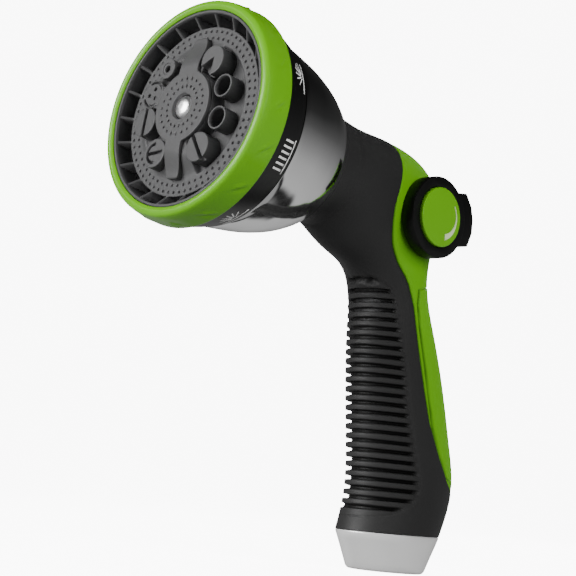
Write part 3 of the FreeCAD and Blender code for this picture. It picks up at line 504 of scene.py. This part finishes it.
def partingGroove(points):
    # depth of the fine groove where the two mouldings meet, falling off with distance from the
    # grid's sides
    step = np.linalg.norm(np.diff(points, axis=1), axis=-1)
    travelled = np.concatenate([np.zeros((len(points), 1)), np.cumsum(step, 1)], 1)
    nearest = np.minimum(travelled, travelled[:, -1:] - travelled)
    return gripSizes["partingDepth"] * np.exp(-(nearest / gripSizes["partingWidth"]) ** 2)


def gripRelief(points):
    # grooves between the ribs inside the panel, and the fine line round the panel
    height = points[..., 2]
    inside = lineAt(panelLine, height) - points[..., 1]
    phase = (height - gripSizes["ribLowest"]) / gripSizes["ribPitch"]
    offset = np.abs(phase - np.round(phase)) * gripSizes["ribPitch"]
    groove = 1 - smoothStep(offset, gripSizes["ribGap"] * 0.36, gripSizes["ribGap"] * 0.55)
    crest = np.clip((offset - gripSizes["ribPitch"] / 2) / (gripSizes["ribPitch"] / 2), -1, 0)
    groove = groove + gripSizes["ribRound"] / gripSizes["ribDepth"] * crest ** 2 * (1 - groove)
    within = smoothStep(inside, 0.3, 1.5)
    lowest = gripSizes["ribLowest"]
    highest = gripSizes["ribHighest"]
    within = within * smoothStep(height, lowest - 1.5, lowest - 0.5)
    within = within * (1 - smoothStep(height, highest - 0.8, highest))
    line = np.exp(-(inside / gripSizes["creaseWidth"]) ** 2) * gripSizes["creaseDepth"]
    return -gripSizes["ribDepth"] * groove * within - line


def spineRelief(points):
    # the back pad stands a little proud inside its crease, with low round bumps up its middle
    height = points[..., 2]
    inside = points[..., 1] - lineAt(padLine, height)
    lift = gripSizes["padRise"] * smoothStep(inside, 0.0, 1.2)
    crease = gripSizes["padCrease"] * np.exp(-((inside + 0.2) / gripSizes["padCreaseWidth"]) ** 2)
    total = lift - crease - gripSizes["spineDrop"]
    for index in range(gripSizes["bumpCount"]):
        away = height - gripSizes["bumpLowest"] - index * gripSizes["bumpPitch"]
        mound = np.exp(-(away / gripSizes["bumpTall"]) ** 2
                       - (points[..., 0] / gripSizes["bumpWide"]) ** 2)
        total = total + gripSizes["bumpRise"] * mound * (inside > 0)
    return total


def setShadeDepth(piece, relief, deepest):
    # how far each point lies below the skin, as a squared share of the deepest groove; the material
    # paints shade into the grooves from it
    share = (np.clip(-relief / deepest, 0, 1) ** 2).astype(np.float32).ravel()
    layer = piece.data.attributes.new("hollow", "FLOAT", "POINT")
    layer.data.foreach_set("value", share)


def makeGrip():
    rings = bodyRings()
    edge = spineEdge(rings)
    share = np.linspace(0, 1, gripSizes["gripColumns"])
    turns = (np.pi - edge)[:, None] + share * (np.pi + 2 * edge)[:, None]
    points = ringPoints(rings, turns)
    relief = gripRelief(points)
    hasSpine = (edge < spineStarts)[:, None]
    relief = relief - partingGroove(points) * hasSpine
    points = points + outwardNormals(points, rings) * relief[..., None]
    skin = makePiece("gripSkin", points, gridFaces(*points.shape[:2])[:, ::-1], darkGrip,
                     "nozzle_body", ["grip_cover"], False, gripSizes["wall"])
    # painted shade in the grooves between the ribs, by their depth
    setShadeDepth(skin, relief, gripSizes["ribDepth"])
    rows = np.flatnonzero(hasSpine)
    rings = [values[rows] for values in rings]
    edge = edge[rows]
    share = np.linspace(0, 1, gripSizes["spineColumns"])
    turns = edge[:, None] + share * (np.pi - 2 * edge)[:, None]
    points = ringPoints(rings, turns)
    relief = spineRelief(points) - partingGroove(points)
    points = points + outwardNormals(points, rings) * relief[..., None]
    skin = makePiece("spineSkin", points, gridFaces(*points.shape[:2])[:, ::-1], limeGrip,
                     "nozzle_body", ["spine_cover"], False, gripSizes["wall"])
    # painted shade in the pad's crease, by its depth
    setShadeDepth(skin, relief, gripSizes["padCrease"])


makeGrip()
print("stage: grip and spine")


# ---- head

# millimetres; diagonal is the sine of 45 degrees
headSizes = {
    "bezelDashes": 16, "dashDepth": 7.4, "dashLength": 2.5, "dashWidth": 0.8, "dashRise": 0.38,
    "dashShadow": 1.5, "dashInner": 41, "diagonal": 0.7071,
}
# the band's slope as (depth, radius), and how far the printed symbols stand off it
bandSlope = [(12.2, 41.6), (17.0, 40.2), (22.0, 38.6), (24.8, 37.6)]
printLift = 0.04
iconKinds = ["cone", "jet", "comb", "fan", "comb", "fan", "jet", "cone"]


def dashRelief(radius, depth, turn):
    # slanted leaf-shaped dashes round the outside of the ring
    pitch = 2 * np.pi / headSizes["bezelDashes"]
    along = (turn / pitch - np.round(turn / pitch)) * pitch * radius
    back = depth - headSizes["dashDepth"]
    first = (along + back) * headSizes["diagonal"]
    second = (back - along) * headSizes["diagonal"]
    beside = second - headSizes["dashShadow"]
    rise = np.exp(-(first / headSizes["dashLength"]) ** 2 - (second / headSizes["dashWidth"]) ** 2)
    dip = np.exp(-(first / headSizes["dashLength"]) ** 2 - (beside / headSizes["dashWidth"]) ** 2)
    height = headSizes["dashRise"]
    return (rise * height - dip * 0.9 * height) * (radius > headSizes["dashInner"])


def makeBezel():
    corners = [(37.8, 0.8, 0.3), (39.2, -0.15, 0.9), (41.2, 0.7, 1.6), (41.85, 3.4, 2.4),
               (42.4, 11.2, 1.0), (42.2, 12.1, 0.4), (37.8, 12.1, 0.2)]
    outline = evenly(roundedOutline(corners), 0.45)
    lathe("bezelSkin", outline, limeGloss, "dial", ["bezel"], 360, dashRelief)


def makeBand():
    corners = [(37.7, 12.3, 0.2), (41.6, 12.3, 0.3), (40.2, 17.0, 3.0), (38.6, 22.0, 3.0),
               (37.6, 24.7, 0.6), (6.2, 24.7, 0.2), (6.2, 4.0, 0.2), (9.1, 4.0, 0.2),
               (9.1, 21.8, 0.3), (35.4, 21.8, 0.3), (35.6, 14.3, 0.2), (37.7, 14.3, 0.2)]
    outline = evenly(roundedOutline(corners), 1.2)
    lathe("bandSkin", outline, bandBlack, "dial", ["dial_shell"], 192)


def makeBell():
    outside = [(37.3, 25.2, 0.3), (37.2, 27.0, 1.0), (36.4, 32.0, 3.0), (34.6, 42.0, 5.0),
               (31.3, 52.0, 5.0), (27.5, 59.0, 3.0), (24.9, 62.3, 0.6), (24.3, 62.8, 0.3),
               (23.0, 62.8, 0.3)]
    inside = [(23.0, 62.0, 0.3), (25.9, 58.2, 2.0), (29.6, 51.4, 4.0), (33.0, 41.6, 4.0),
              (34.8, 32.0, 3.0), (35.7, 27.0, 1.0), (35.7, 25.2, 0.3)]
    outline = evenly(roundedOutline(outside + inside, 9), 1.0)
    lathe("bellSkin", outline, chrome, "nozzle_body", ["bell_shroud"], 256)


def bandPatch(across, depth, halfAcross, halfDepth, turn, slant):
    # a thin printed bar on the band: a small grid in (distance round, depth) turned by slant
    u, v = np.meshgrid(np.linspace(-1, 1, 9) * halfAcross, np.linspace(-1, 1, 5) * halfDepth,
                       indexing="ij")
    c, s = math.cos(slant), math.sin(slant)
    sideways = across + u * c - v * s
    back = depth + u * s + v * c
    slope = np.array(bandSlope)
    radius = np.interp(back, slope[:, 0], slope[:, 1]) + printLift
    return headPoint(radius, back, turn + sideways / radius)


def iconBars(kind):
    # bars of one printed symbol: distance round, depth, half lengths, slant
    bars = [(0.0, 22.6, 6.6, 0.3, 0.0)]
    if kind == "comb":
        for place in np.linspace(-5.4, 5.4, 6):
            bars.append((place, 18.9, 0.4, 2.7, 0.0))
    if kind == "fan":
        for lean in np.radians([-58, -34, -12, 12, 34, 58]):
            reach = 3.4
            bars.append((math.sin(lean) * reach, 22.0 - math.cos(lean) * reach, 0.24, 2.2,
                         lean))
    if kind == "cone":
        for place in np.linspace(-1, 1, 4):
            lean = math.atan(place * 2.0 / 4.6)
            bars.append((place * 2.2, 18.8, 0.35, 2.6, lean))
    if kind == "jet":
        bars.append((0.0, 18.9, 0.5, 2.8, 0.0))
    return bars


def makeIcons():
    points = []
    faces = []
    start = 0
    for index, kind in enumerate(iconKinds):
        turn = math.radians(24 - 46 * (index - 3))
        for across, depth, halfAcross, halfDepth, slant in iconBars(kind):
            patch = bandPatch(across, depth, halfAcross, halfDepth, turn, slant)
            points.append(patch.reshape(-1, 3))
            faces.append(gridFaces(*patch.shape[:2]) + start)
            start += len(points[-1])
    makePiece("bandIcons", np.vstack(points), np.vstack(faces), iconWhite, "dial",
              (), True, 0.05)


def makeScrew():
    corners = [(0.0, -1.1, 0.0), (1.6, -1.05, 0.5), (3.4, -0.5, 1.2), (4.4, 0.7, 0.8),
               (4.5, 3.0, 0.2), (3.0, 3.0, 0.1), (3.0, 45.9, 0.3), (0.0, 45.9, 0.0)]
    outline = roundedOutline(corners)
    lathe("screwDome", outline, screwChrome, "nozzle_body", ["centre_screw"], 72)


makeBezel()
makeBand()
makeBell()
makeIcons()
makeScrew()


# ---- dial face

# millimetres; a pair is where a slope starts and ends, a span is half an angle in degrees
faceSizes = {
    "top": 1.0, "foot": 5.0, "dome": (17.0, 27.0), "discRadius": 32.6, "rimRadius": 36.4,
    "edgeSlope": 0.15, "recess": 11.6, "ribCount": 22, "ribWidth": 1.5, "ribLift": 0.1,
    "ribEnd": 1.5, "lip": 0.95, "outletCircle": 20.0, "wellDepth": 6.6, "back": 13.9,
    "boreRadius": 5.2, "outerRadius": 37.6, "outerDepth": 1.1,
    "wellMiddle": -1, "wellSpan": (66, 70), "wellInner": (13.9, 14.7), "wellOuter": (25.4, 26.4),
    "channelMiddle": 214, "channelSpan": (36, 39), "channelInner": (14.2, 14.9),
    "channelOuter": (23.6, 24.6), "channelRise": 1.6, "bridgeMiddle": -108, "bridgeSpan": 17,
    "pocketRadius": (5.6, 6.6), "pocketDepth": 2.6,
    "holeRings": ((28.3, 60), (30.9, 66)), "holeRadius": 0.46, "holeDepth": 1.3,
}
# legs as (direction in degrees, reach, width at the foot)
hubSizes = {
    "boreRadius": 5.0, "radius": 13.8, "top": -0.6, "foot": 5.4, "fall": 3.2, "falls": (15.0, 27.0),
    "legs": ((91, 27.5, 11.5), (267, 26.5, 9.5)), "legFootRadius": 14.0, "legTip": 5.0,
    "holeRings": ((7.7, 21), (10.6, 24)), "holeRadius": 0.42, "holeDepth": 1.0,
}
# where each outlet stands, in degrees round the spray axis
outletAngles = {
    "stream_tube_high": 18, "vee_disc": 56, "jet_nozzle": 128, "shower_disc": 160,
    "slot_disc_left": 192, "arc_disc": 238, "slot_disc_low": 306, "stream_tube_low": 343,
}
outletFoot = 20.0


def holeRing(radius, turn, ring, count, size):
    # 1 inside the small round holes spaced evenly on a circle, 0 outside, with a short slope
    # between
    pitch = 2 * np.pi / count
    across = (turn / pitch - np.round(turn / pitch)) * pitch * radius
    return 1 - smoothStep(np.hypot(across, radius - ring), size * 0.75, size * 1.2)


def angleFrom(turn, centre):
    # signed angle from centre, in degrees between -180 and 180
    return (np.degrees(turn) - centre + 180) % 360 - 180


def ringHoles(radius, turn, sizes):
    # the small holes of every ring of a piece, lowered by their depth
    rings = [holeRing(radius, turn, ring, count, sizes["holeRadius"])
             for ring, count in sizes["holeRings"]]
    return (rings[0] + rings[1]) * sizes["holeDepth"]


def faceDepth(radius, turn):
    # depth of the dial's face: a low dome, the well round the open outlets, the channel beside the
    # lower leg, the jet's pocket, the recess with its ribs, the lip and the small holes
    sizes = faceSizes
    depth = sizes["top"] + (sizes["foot"] - sizes["top"]) * smoothStep(radius, *sizes["dome"])
    well = smoothStep(radius, *sizes["wellInner"]) * (1 - smoothStep(radius, *sizes["wellOuter"]))
    fromWell = angleFrom(turn, sizes["wellMiddle"])
    well = well * (1 - smoothStep(np.abs(fromWell), *sizes["wellSpan"]))
    depth = depth + (sizes["wellDepth"] - depth) * well
    fromBridge = angleFrom(turn, sizes["bridgeMiddle"])
    fromChannel = angleFrom(turn, sizes["channelMiddle"])
    channel = smoothStep(radius, *sizes["channelInner"]) * (
        1 - smoothStep(radius, *sizes["channelOuter"]))
    channel = channel * (1 - smoothStep(np.abs(fromChannel), *sizes["channelSpan"]))
    floor = sizes["wellDepth"] - sizes["channelRise"]
    depth = depth + (floor - depth) * channel * (np.abs(fromBridge) > sizes["bridgeSpan"])
    fromJet = np.radians(angleFrom(turn, outletAngles["jet_nozzle"]))
    away = np.hypot(radius * np.cos(fromJet) - sizes["outletCircle"], radius * np.sin(fromJet))
    pocket = 1 - smoothStep(away, *sizes["pocketRadius"])
    depth = depth + sizes["pocketDepth"] * pocket * (depth < 4)
    soft = sizes["edgeSlope"]
    lip = smoothStep(radius, sizes["rimRadius"] - soft, sizes["rimRadius"] + soft)
    outer = smoothStep(radius, sizes["discRadius"] - soft, sizes["discRadius"] + soft) * (1 - lip)
    pitch = 2 * np.pi / sizes["ribCount"]
    across = np.abs((turn / pitch - np.round(turn / pitch)) * pitch * radius)
    rib = 1 - smoothStep(across, sizes["ribWidth"] * 0.36, sizes["ribWidth"] * 0.56)
    slope = np.clip((radius - sizes["discRadius"]) / (sizes["rimRadius"] - sizes["discRadius"]),
                    0, 1)
    ribTop = sizes["foot"] + sizes["ribLift"] + (sizes["ribEnd"] - sizes["foot"]) * slope
    depth = depth + (sizes["recess"] + (ribTop - sizes["recess"]) * rib - depth) * outer
    depth = depth + (sizes["lip"] - depth) * lip
    return depth + ringHoles(radius, turn, sizes)


def makeFace():
    # rings close together where the face is cut up, wider apart where it is plain
    radius = np.concatenate([
        np.linspace(faceSizes["boreRadius"], 13.6, 10), np.arange(13.8, 15.2, 0.2),
        np.arange(15.6, 25.0, 0.55), np.arange(25.2, 27.0, 0.3), np.arange(27.3, 31.9, 0.19),
        [32.2, 32.45], np.arange(32.5, 32.8, 0.1), [33.2, 34.2, 35.4, 36.2],
        np.arange(36.25, 36.6, 0.1), [37.0, 37.5, faceSizes["outerRadius"]]])
    turns = np.linspace(0, 2 * np.pi, 900, endpoint=False)
    grid, turn = np.meshgrid(radius, turns, indexing="ij")
    depth = faceDepth(grid, turn)
    depth[-1] = faceSizes["outerDepth"]
    back = np.array([(faceSizes["outerRadius"], faceSizes["back"]),
                     (faceSizes["boreRadius"], faceSizes["back"])])
    grid = np.vstack([grid, np.repeat(back[:, :1], len(turns), 1)])
    depth = np.vstack([depth, np.repeat(back[:, 1:], len(turns), 1)])
    points = headPoint(grid, depth, np.vstack([turn, turn[:2]]))
    makePiece("faceSkin", points, gridFaces(len(points), len(turns), True, True), faceDark, "dial",
              ["face_plate"])


def hubReach(turn):
    # how far the hub goes out at an angle: a round disc with two smooth rounded legs, up and down
    sizes = hubSizes
    reach = np.full_like(turn, sizes["radius"])
    for centre, far, foot in sizes["legs"]:
        away = np.abs(angleFrom(turn, centre))
        wide = np.degrees(np.arctan2(foot / 2, sizes["legFootRadius"]))
        lobe = 1 - smoothStep(away, sizes["legTip"], wide)
        reach = reach + (far - sizes["radius"]) * lobe ** 1.2
    return reach


def closeBack(radius, depth, turn, foot):
    # two more rows behind a front: its outermost ring and its innermost, both at the foot's depth
    depth = np.vstack([depth, depth[-1:] * 0 + foot, depth[-1:] * 0 + foot])
    radius = np.vstack([radius, radius[-1:], radius[:1]])
    return radius, depth, np.vstack([turn, turn[:2]])


def makeHub():
    # rings keep their share of the way from the screw to the hub's edge, which turns down at the
    # end
    share = np.concatenate([np.linspace(0, 0.97, 46), [0.985, 0.995, 1.0, 1.0, 1.0]])
    drop = np.concatenate([np.zeros(46), [0.06, 0.18, 0.45, 1.2, 4.6]])
    turns = np.linspace(0, 2 * np.pi, 540, endpoint=False)
    share, turn = np.meshgrid(share, turns, indexing="ij")
    inner = hubSizes["boreRadius"]
    radius = inner + share * (hubReach(turn) - inner)
    slope = hubSizes["fall"] * smoothStep(radius, *hubSizes["falls"])
    depth = hubSizes["top"] + drop[:, None] + slope + ringHoles(radius, turn, hubSizes)
    points = headPoint(*closeBack(radius, depth, turn, hubSizes["foot"]))
    makePiece("hubSkin", points, gridFaces(len(points), len(turns), True, True), faceDark, "dial",
              ["hub_disc"])


def localPoint(angle, radius, turn, depth):
    # a point about an outlet's own middle; its first direction points away from the dial's centre
    middle = math.radians(angle)
    u = faceSizes["outletCircle"] + radius * np.cos(turn)
    v = radius * np.sin(turn)
    x = u * math.cos(middle) - v * math.sin(middle)
    y = u * math.sin(middle) + v * math.cos(middle)
    return headPoint(np.hypot(x, y), depth, np.arctan2(y, x))


def makeOutlet(node, reach, front, cut):
    # a round boss: a fine polar grid for its front, lowered by cut(u, v), then its side and back
    share = np.concatenate([np.linspace(0, 0.94, 46), [0.965, 0.985, 1.0, 1.0]])
    drop = np.concatenate([np.zeros(46), [0.03, 0.1, 0.3, 0.8]])
    turns = np.linspace(0, 2 * np.pi, 168, endpoint=False)
    share, turn = np.meshgrid(share, turns, indexing="ij")
    radius = share * reach
    depth = front + drop[:, None] + cut(radius * np.cos(turn), radius * np.sin(turn))
    radius, depth, turn = closeBack(radius, depth, turn, outletFoot)
    points = localPoint(outletAngles[node], radius, turn, depth)
    makePiece(node + "_skin", points, gridFaces(len(points), len(turns), False, True), faceDark,
              "dial", [node])


def pit(away, deep, start, end):
    # deep where away is under start, 0 beyond end
    return deep * (1 - smoothStep(away, start, end))


def slotCut(width, deep, slant):
    # a straight slot right across, with short slopes for sides
    c, s = math.cos(math.radians(slant)), math.sin(math.radians(slant))
    return lambda u, v: pit(np.abs(u * c + v * s), deep, width * 0.4, width * 0.6)


def tubeCut(u, v):
    return pit(np.hypot(u, v), 9.0, 3.45, 3.75)


def jetCut(u, v):
    # the bore, and a shallow step round it
    away = np.hypot(u, v)
    return pit(away, 5.0, 1.15, 1.4) + pit(away, 0.35, 2.1, 2.4)


def showerCut(u, v):
    # three holes, and two curved slots near the rim
    total = 0.0
    for turn in (30, 150, 270):
        away = np.hypot(u - 2.1 * math.cos(math.radians(turn)),
                        v - 2.1 * math.sin(math.radians(turn)))
        total = total + pit(away, 2.0, 0.6, 0.85)
    along = np.abs(np.sin(np.arctan2(v, u)))
    rim = pit(np.abs(np.hypot(u, v) - 4.6), 1.0, 0.3, 0.5) * smoothStep(along, 0.62, 0.75)
    return total + 1.6 * rim


def arcCut(u, v):
    # half a circle of slot, closed by a short straight one
    ring = pit(np.abs(np.hypot(u, v) - 3.6), 1.0, 0.35, 0.6)
    ring = ring * smoothStep(u * 0.6 - v * 0.8, -0.4, 0.3)
    bar = pit(np.abs(u * 0.8 + v * 0.6), 1.0, 0.4, 0.7)
    bar = bar * pit(np.abs(v * 0.8 - u * 0.6), 1.0, 3.9, 4.2)
    return 2.4 * np.maximum(ring, bar)


def veeCut(u, v):
    # a notch that widens toward the hub
    return 3.2 * smoothStep((-u + 1.2) * 0.55 - np.abs(v), -0.15, 0.2)


# outlet, radius, depth of its front, what is cut into it
outletCuts = [
    ("stream_tube_high", 4.4, 0.0, tubeCut), ("stream_tube_low", 4.4, 0.0, tubeCut),
    ("jet_nozzle", 4.0, -0.6, jetCut), ("shower_disc", 5.4, 0.75, showerCut),
    ("slot_disc_left", 5.6, 0.0, slotCut(1.3, 2.6, -12)),
    ("slot_disc_low", 5.6, 0.0, slotCut(1.3, 2.6, 90)),
    ("arc_disc", 5.6, 0.0, arcCut), ("vee_disc", 5.6, -0.4, veeCut),
]

makeFace()
makeHub()
for node, reach, front, cut in outletCuts:
    makeOutlet(node, reach, front, cut)
print("stage: head")


# ---- thumb control

bevelledCopy("thumb_yoke", 0.8, 3)
for node in ("cap_right", "cap_left"):
    bevelledCopy(node, 0.3)
print("stage: thumb control")


# ---- hose end

# the collar's rings as (height, half width, half depth, behind the inlet's axis): from the mouth up
# the outside to the grip's oval, then in to the bore
collarRings = [
    (0.35, 14.3, 14.3, 0.0), (0.0, 14.7, 14.7, 0.0), (0.25, 15.3, 15.3, 0.0),
    (1.1, 15.95, 16.1, 0.0), (3.0, 16.3, 17.3, 0.0), (8.0, 17.3, 20.1, 0.0),
    (12.0, 18.1, 22.4, 0.0), (14.6, 18.55, 23.9, -0.1), (15.2, 18.4, 23.9, -0.1),
    (15.35, 17.9, 23.4, -0.1), (15.35, 14.3, 14.3, 0.0),
]
threadSizes = {
    "pitch": 2.209, "grooveRadius": 13.5, "ridgeHeight": 1.2, "ridgeTop": 1.5, "flank": 3.0,
    "fadesIn": (0.0, 1.4), "fadesOut": (10.4, 11.2),
}


def makeCollar():
    rings = np.array(collarRings)
    turns = np.linspace(0, 2 * np.pi, 160, endpoint=False)
    height = np.repeat(rings[:, :1], len(turns), 1)
    points = np.stack([rings[:, 1:2] * np.cos(turns),
                       rings[:, 3:4] + rings[:, 2:3] * np.sin(turns), height], -1)
    makePiece("collarSkin", points, gridFaces(len(rings), len(turns), True, True), silverPearl,
              "nozzle_body", ["base_collar"])


def makeThread():
    # the insert's bore with a real thread: the radius follows the height and the angle, one pitch
    # per turn
    sizes = threadSizes
    height = np.concatenate([np.linspace(0, 11.2, 90), [11.3, 14.0]])
    turns = np.linspace(0, 2 * np.pi, 96, endpoint=False)
    level, turn = np.meshgrid(height, turns, indexing="ij")
    phase = level / sizes["pitch"] - turn / (2 * np.pi)
    away = np.abs(phase - np.round(phase))
    ridge = np.clip(sizes["ridgeTop"] - sizes["flank"] * away, 0, 1)
    fade = smoothStep(level, *sizes["fadesIn"]) * (1 - smoothStep(level, *sizes["fadesOut"]))
    radius = sizes["grooveRadius"] - sizes["ridgeHeight"] * ridge * fade
    bore = np.stack([radius * np.cos(turn), radius * np.sin(turn), level], -1)
    # back down the outside, as (height, radius)
    lip = np.array([(14.0, 8.1), (17.0, 8.1), (17.0, 14.15), (0.1, 14.15), (0.0, 13.9)])
    outside = np.stack([lip[:, 1:2] * np.cos(turns), lip[:, 1:2] * np.sin(turns),
                        np.repeat(lip[:, :1], len(turns), 1)], -1)
    points = np.concatenate([bore, outside])
    makePiece("insertThread", points, gridFaces(len(points), len(turns), True, True), brassTurned,
              "nozzle_body", ["inlet_insert"])


makeCollar()
makeThread()
print("stage: hose end")


# ---- floor, light and camera

# degrees, millimetres and the focal length in pixels of the photo, turned into millimetres
viewSizes = {
    "azimuth": 44.315, "elevation": -6.908, "roll": 5.406, "shiftAcross": 38.881,
    "shiftUp": -114.543, "distance": 674.866, "focal": 1666.4 / 576 * 36, "sensor": 36,
}
# metres; the sweep runs away from the camera and bends up over a quarter circle
floorSizes = {
    "near": -3.0, "bend": 1.2, "bendRadius": 2.0, "far": 3.2, "top": 6.0, "azimuth": 44,
    "halfWidth": 5, "strips": 9, "drop": 0.0004, "glow": 9.0,
}
# the surround from straight down to straight up, as (place, brightness)
surroundShades = [(0.0, 0.45), (0.165, 0.45), (0.185, 0.02), (0.205, 0.02), (0.225, 0.75),
                  (0.36, 0.6), (0.47, 0.35), (0.60, 0.12), (0.68, 0.04), (0.78, 0.012),
                  (1.0, 0.012)]


def makeCamera():
    # the camera looks back along its own axis at the object from the side of the spray
    azimuth, elevation, roll = [math.radians(viewSizes[key])
                                for key in ("azimuth", "elevation", "roll")]
    back = Vector((math.sin(azimuth) * math.cos(elevation),
                   -math.cos(azimuth) * math.cos(elevation), math.sin(elevation)))
    right = Vector((math.cos(azimuth), math.sin(azimuth), 0))
    above = back.cross(right)
    turnedRight = right * math.cos(roll) + above * math.sin(roll)
    turnedUp = above * math.cos(roll) - right * math.sin(roll)
    place = (back * viewSizes["distance"] - turnedRight * viewSizes["shiftAcross"]
             - turnedUp * viewSizes["shiftUp"]) * mm
    camera = bpy.data.objects.new("camera", bpy.data.cameras.new("camera"))
    bpy.context.scene.collection.objects.link(camera)
    matrix = Matrix((turnedRight, turnedUp, back)).transposed().to_4x4()
    matrix.translation = place
    camera.matrix_world = matrix
    camera.data.lens = viewSizes["focal"]
    camera.data.sensor_width = viewSizes["sensor"]
    camera.data.clip_start = 0.01
    camera.data.clip_end = 50
    bpy.context.scene.camera = camera


def makeFloor():
    # a pale sweep: flat under the object, then curving up far behind it
    sizes = floorSizes
    bend = sizes["bend"]
    curve = sizes["bendRadius"]
    distance = np.concatenate([[sizes["near"]], np.linspace(bend, sizes["far"], 40)])
    under = np.sqrt(np.maximum(0, curve ** 2 - (distance - bend) ** 2))
    rise = np.append(np.where(distance > bend, curve - under, 0), sizes["top"])
    distance = np.append(distance, sizes["far"])
    azimuth = math.radians(sizes["azimuth"])
    away = np.array([-math.sin(azimuth), math.cos(azimuth)])
    side = np.array([away[1], -away[0]])
    along = np.linspace(-sizes["halfWidth"], sizes["halfWidth"], sizes["strips"])
    ground = distance[:, None, None] * away + along[None, :, None] * side
    height = np.repeat(rise[:, None], sizes["strips"], 1)[..., None] - sizes["drop"]
    points = np.concatenate([ground, height], -1)
    mesh = bpy.data.meshes.new("floor")
    mesh.from_pydata(points.reshape(-1, 3).tolist(), [],
                     gridFaces(len(distance), sizes["strips"]).tolist())
    floor = bpy.data.objects.new("floor", mesh)
    bpy.context.scene.collection.objects.link(floor)
    material, tree, shader = newMaterial("paleFloor", Roughness=0.8, Specular_IOR_Level=0.1)
    feed(tree, shader.inputs["Base Color"],
         blendColour(tree, noise(tree, 3.0), [0.90, 0.90, 0.90, 1.0], [0.93, 0.93, 0.93, 1.0]))
    shader.inputs["Emission Color"].default_value = (1, 1, 1, 1)
    shader.inputs["Emission Strength"].default_value = sizes["glow"]
    mesh.materials.append(material)
    mesh.shade_smooth()
    floor.visible_diffuse = False
    floor.visible_glossy = False


def areaLight(name, place, target, size, power, tall=None):
    light = bpy.data.lights.new(name, "AREA")
    light.energy = power
    light.size = size
    if tall:
        light.shape = "RECTANGLE"
        light.size_y = tall
    lamp = bpy.data.objects.new(name, light)
    bpy.context.scene.collection.objects.link(lamp)
    lamp.location = place
    lamp.rotation_mode = "QUATERNION"
    lamp.rotation_quaternion = (Vector(target) - Vector(place)).to_track_quat("-Z", "Y")
    return lamp


def makeLights():
    # one tall soft light from the right, one wide from the left front, one behind, and a graded
    # surround
    middle = (0, -0.06, 0.11)
    right = areaLight("rightLight", (1.15, -0.15, 0.55), middle, 0.55, 15.0, 0.9)
    right.visible_glossy = False
    areaLight("frontLight", (-0.35, -1.25, 0.45), middle, 0.9, 30.0)
    back = areaLight("backLight", (-0.3, 1.0, 0.8), middle, 0.7, 10.0)
    back.visible_glossy = False
    world = bpy.data.worlds.new("studio")
    bpy.context.scene.world = world
    world.use_nodes = True
    tree = world.node_tree
    place = addNode(tree, "ShaderNodeTexCoord", {}, [], "Generated")
    height = addNode(tree, "ShaderNodeSeparateXYZ", {}, [place], 2)
    stops = [(position, (shade, shade, shade, 1)) for position, shade in surroundShades]
    ramp = addNode(tree, "ShaderNodeValToRGB", {"stops": stops}, [height * 0.5 + 0.5])
    feed(tree, tree.nodes["Background"].inputs["Color"], ramp)
    tree.nodes["Background"].inputs["Strength"].default_value = 0.8


makeCamera()
makeFloor()
makeLights()
print("stage: floor, light and camera")
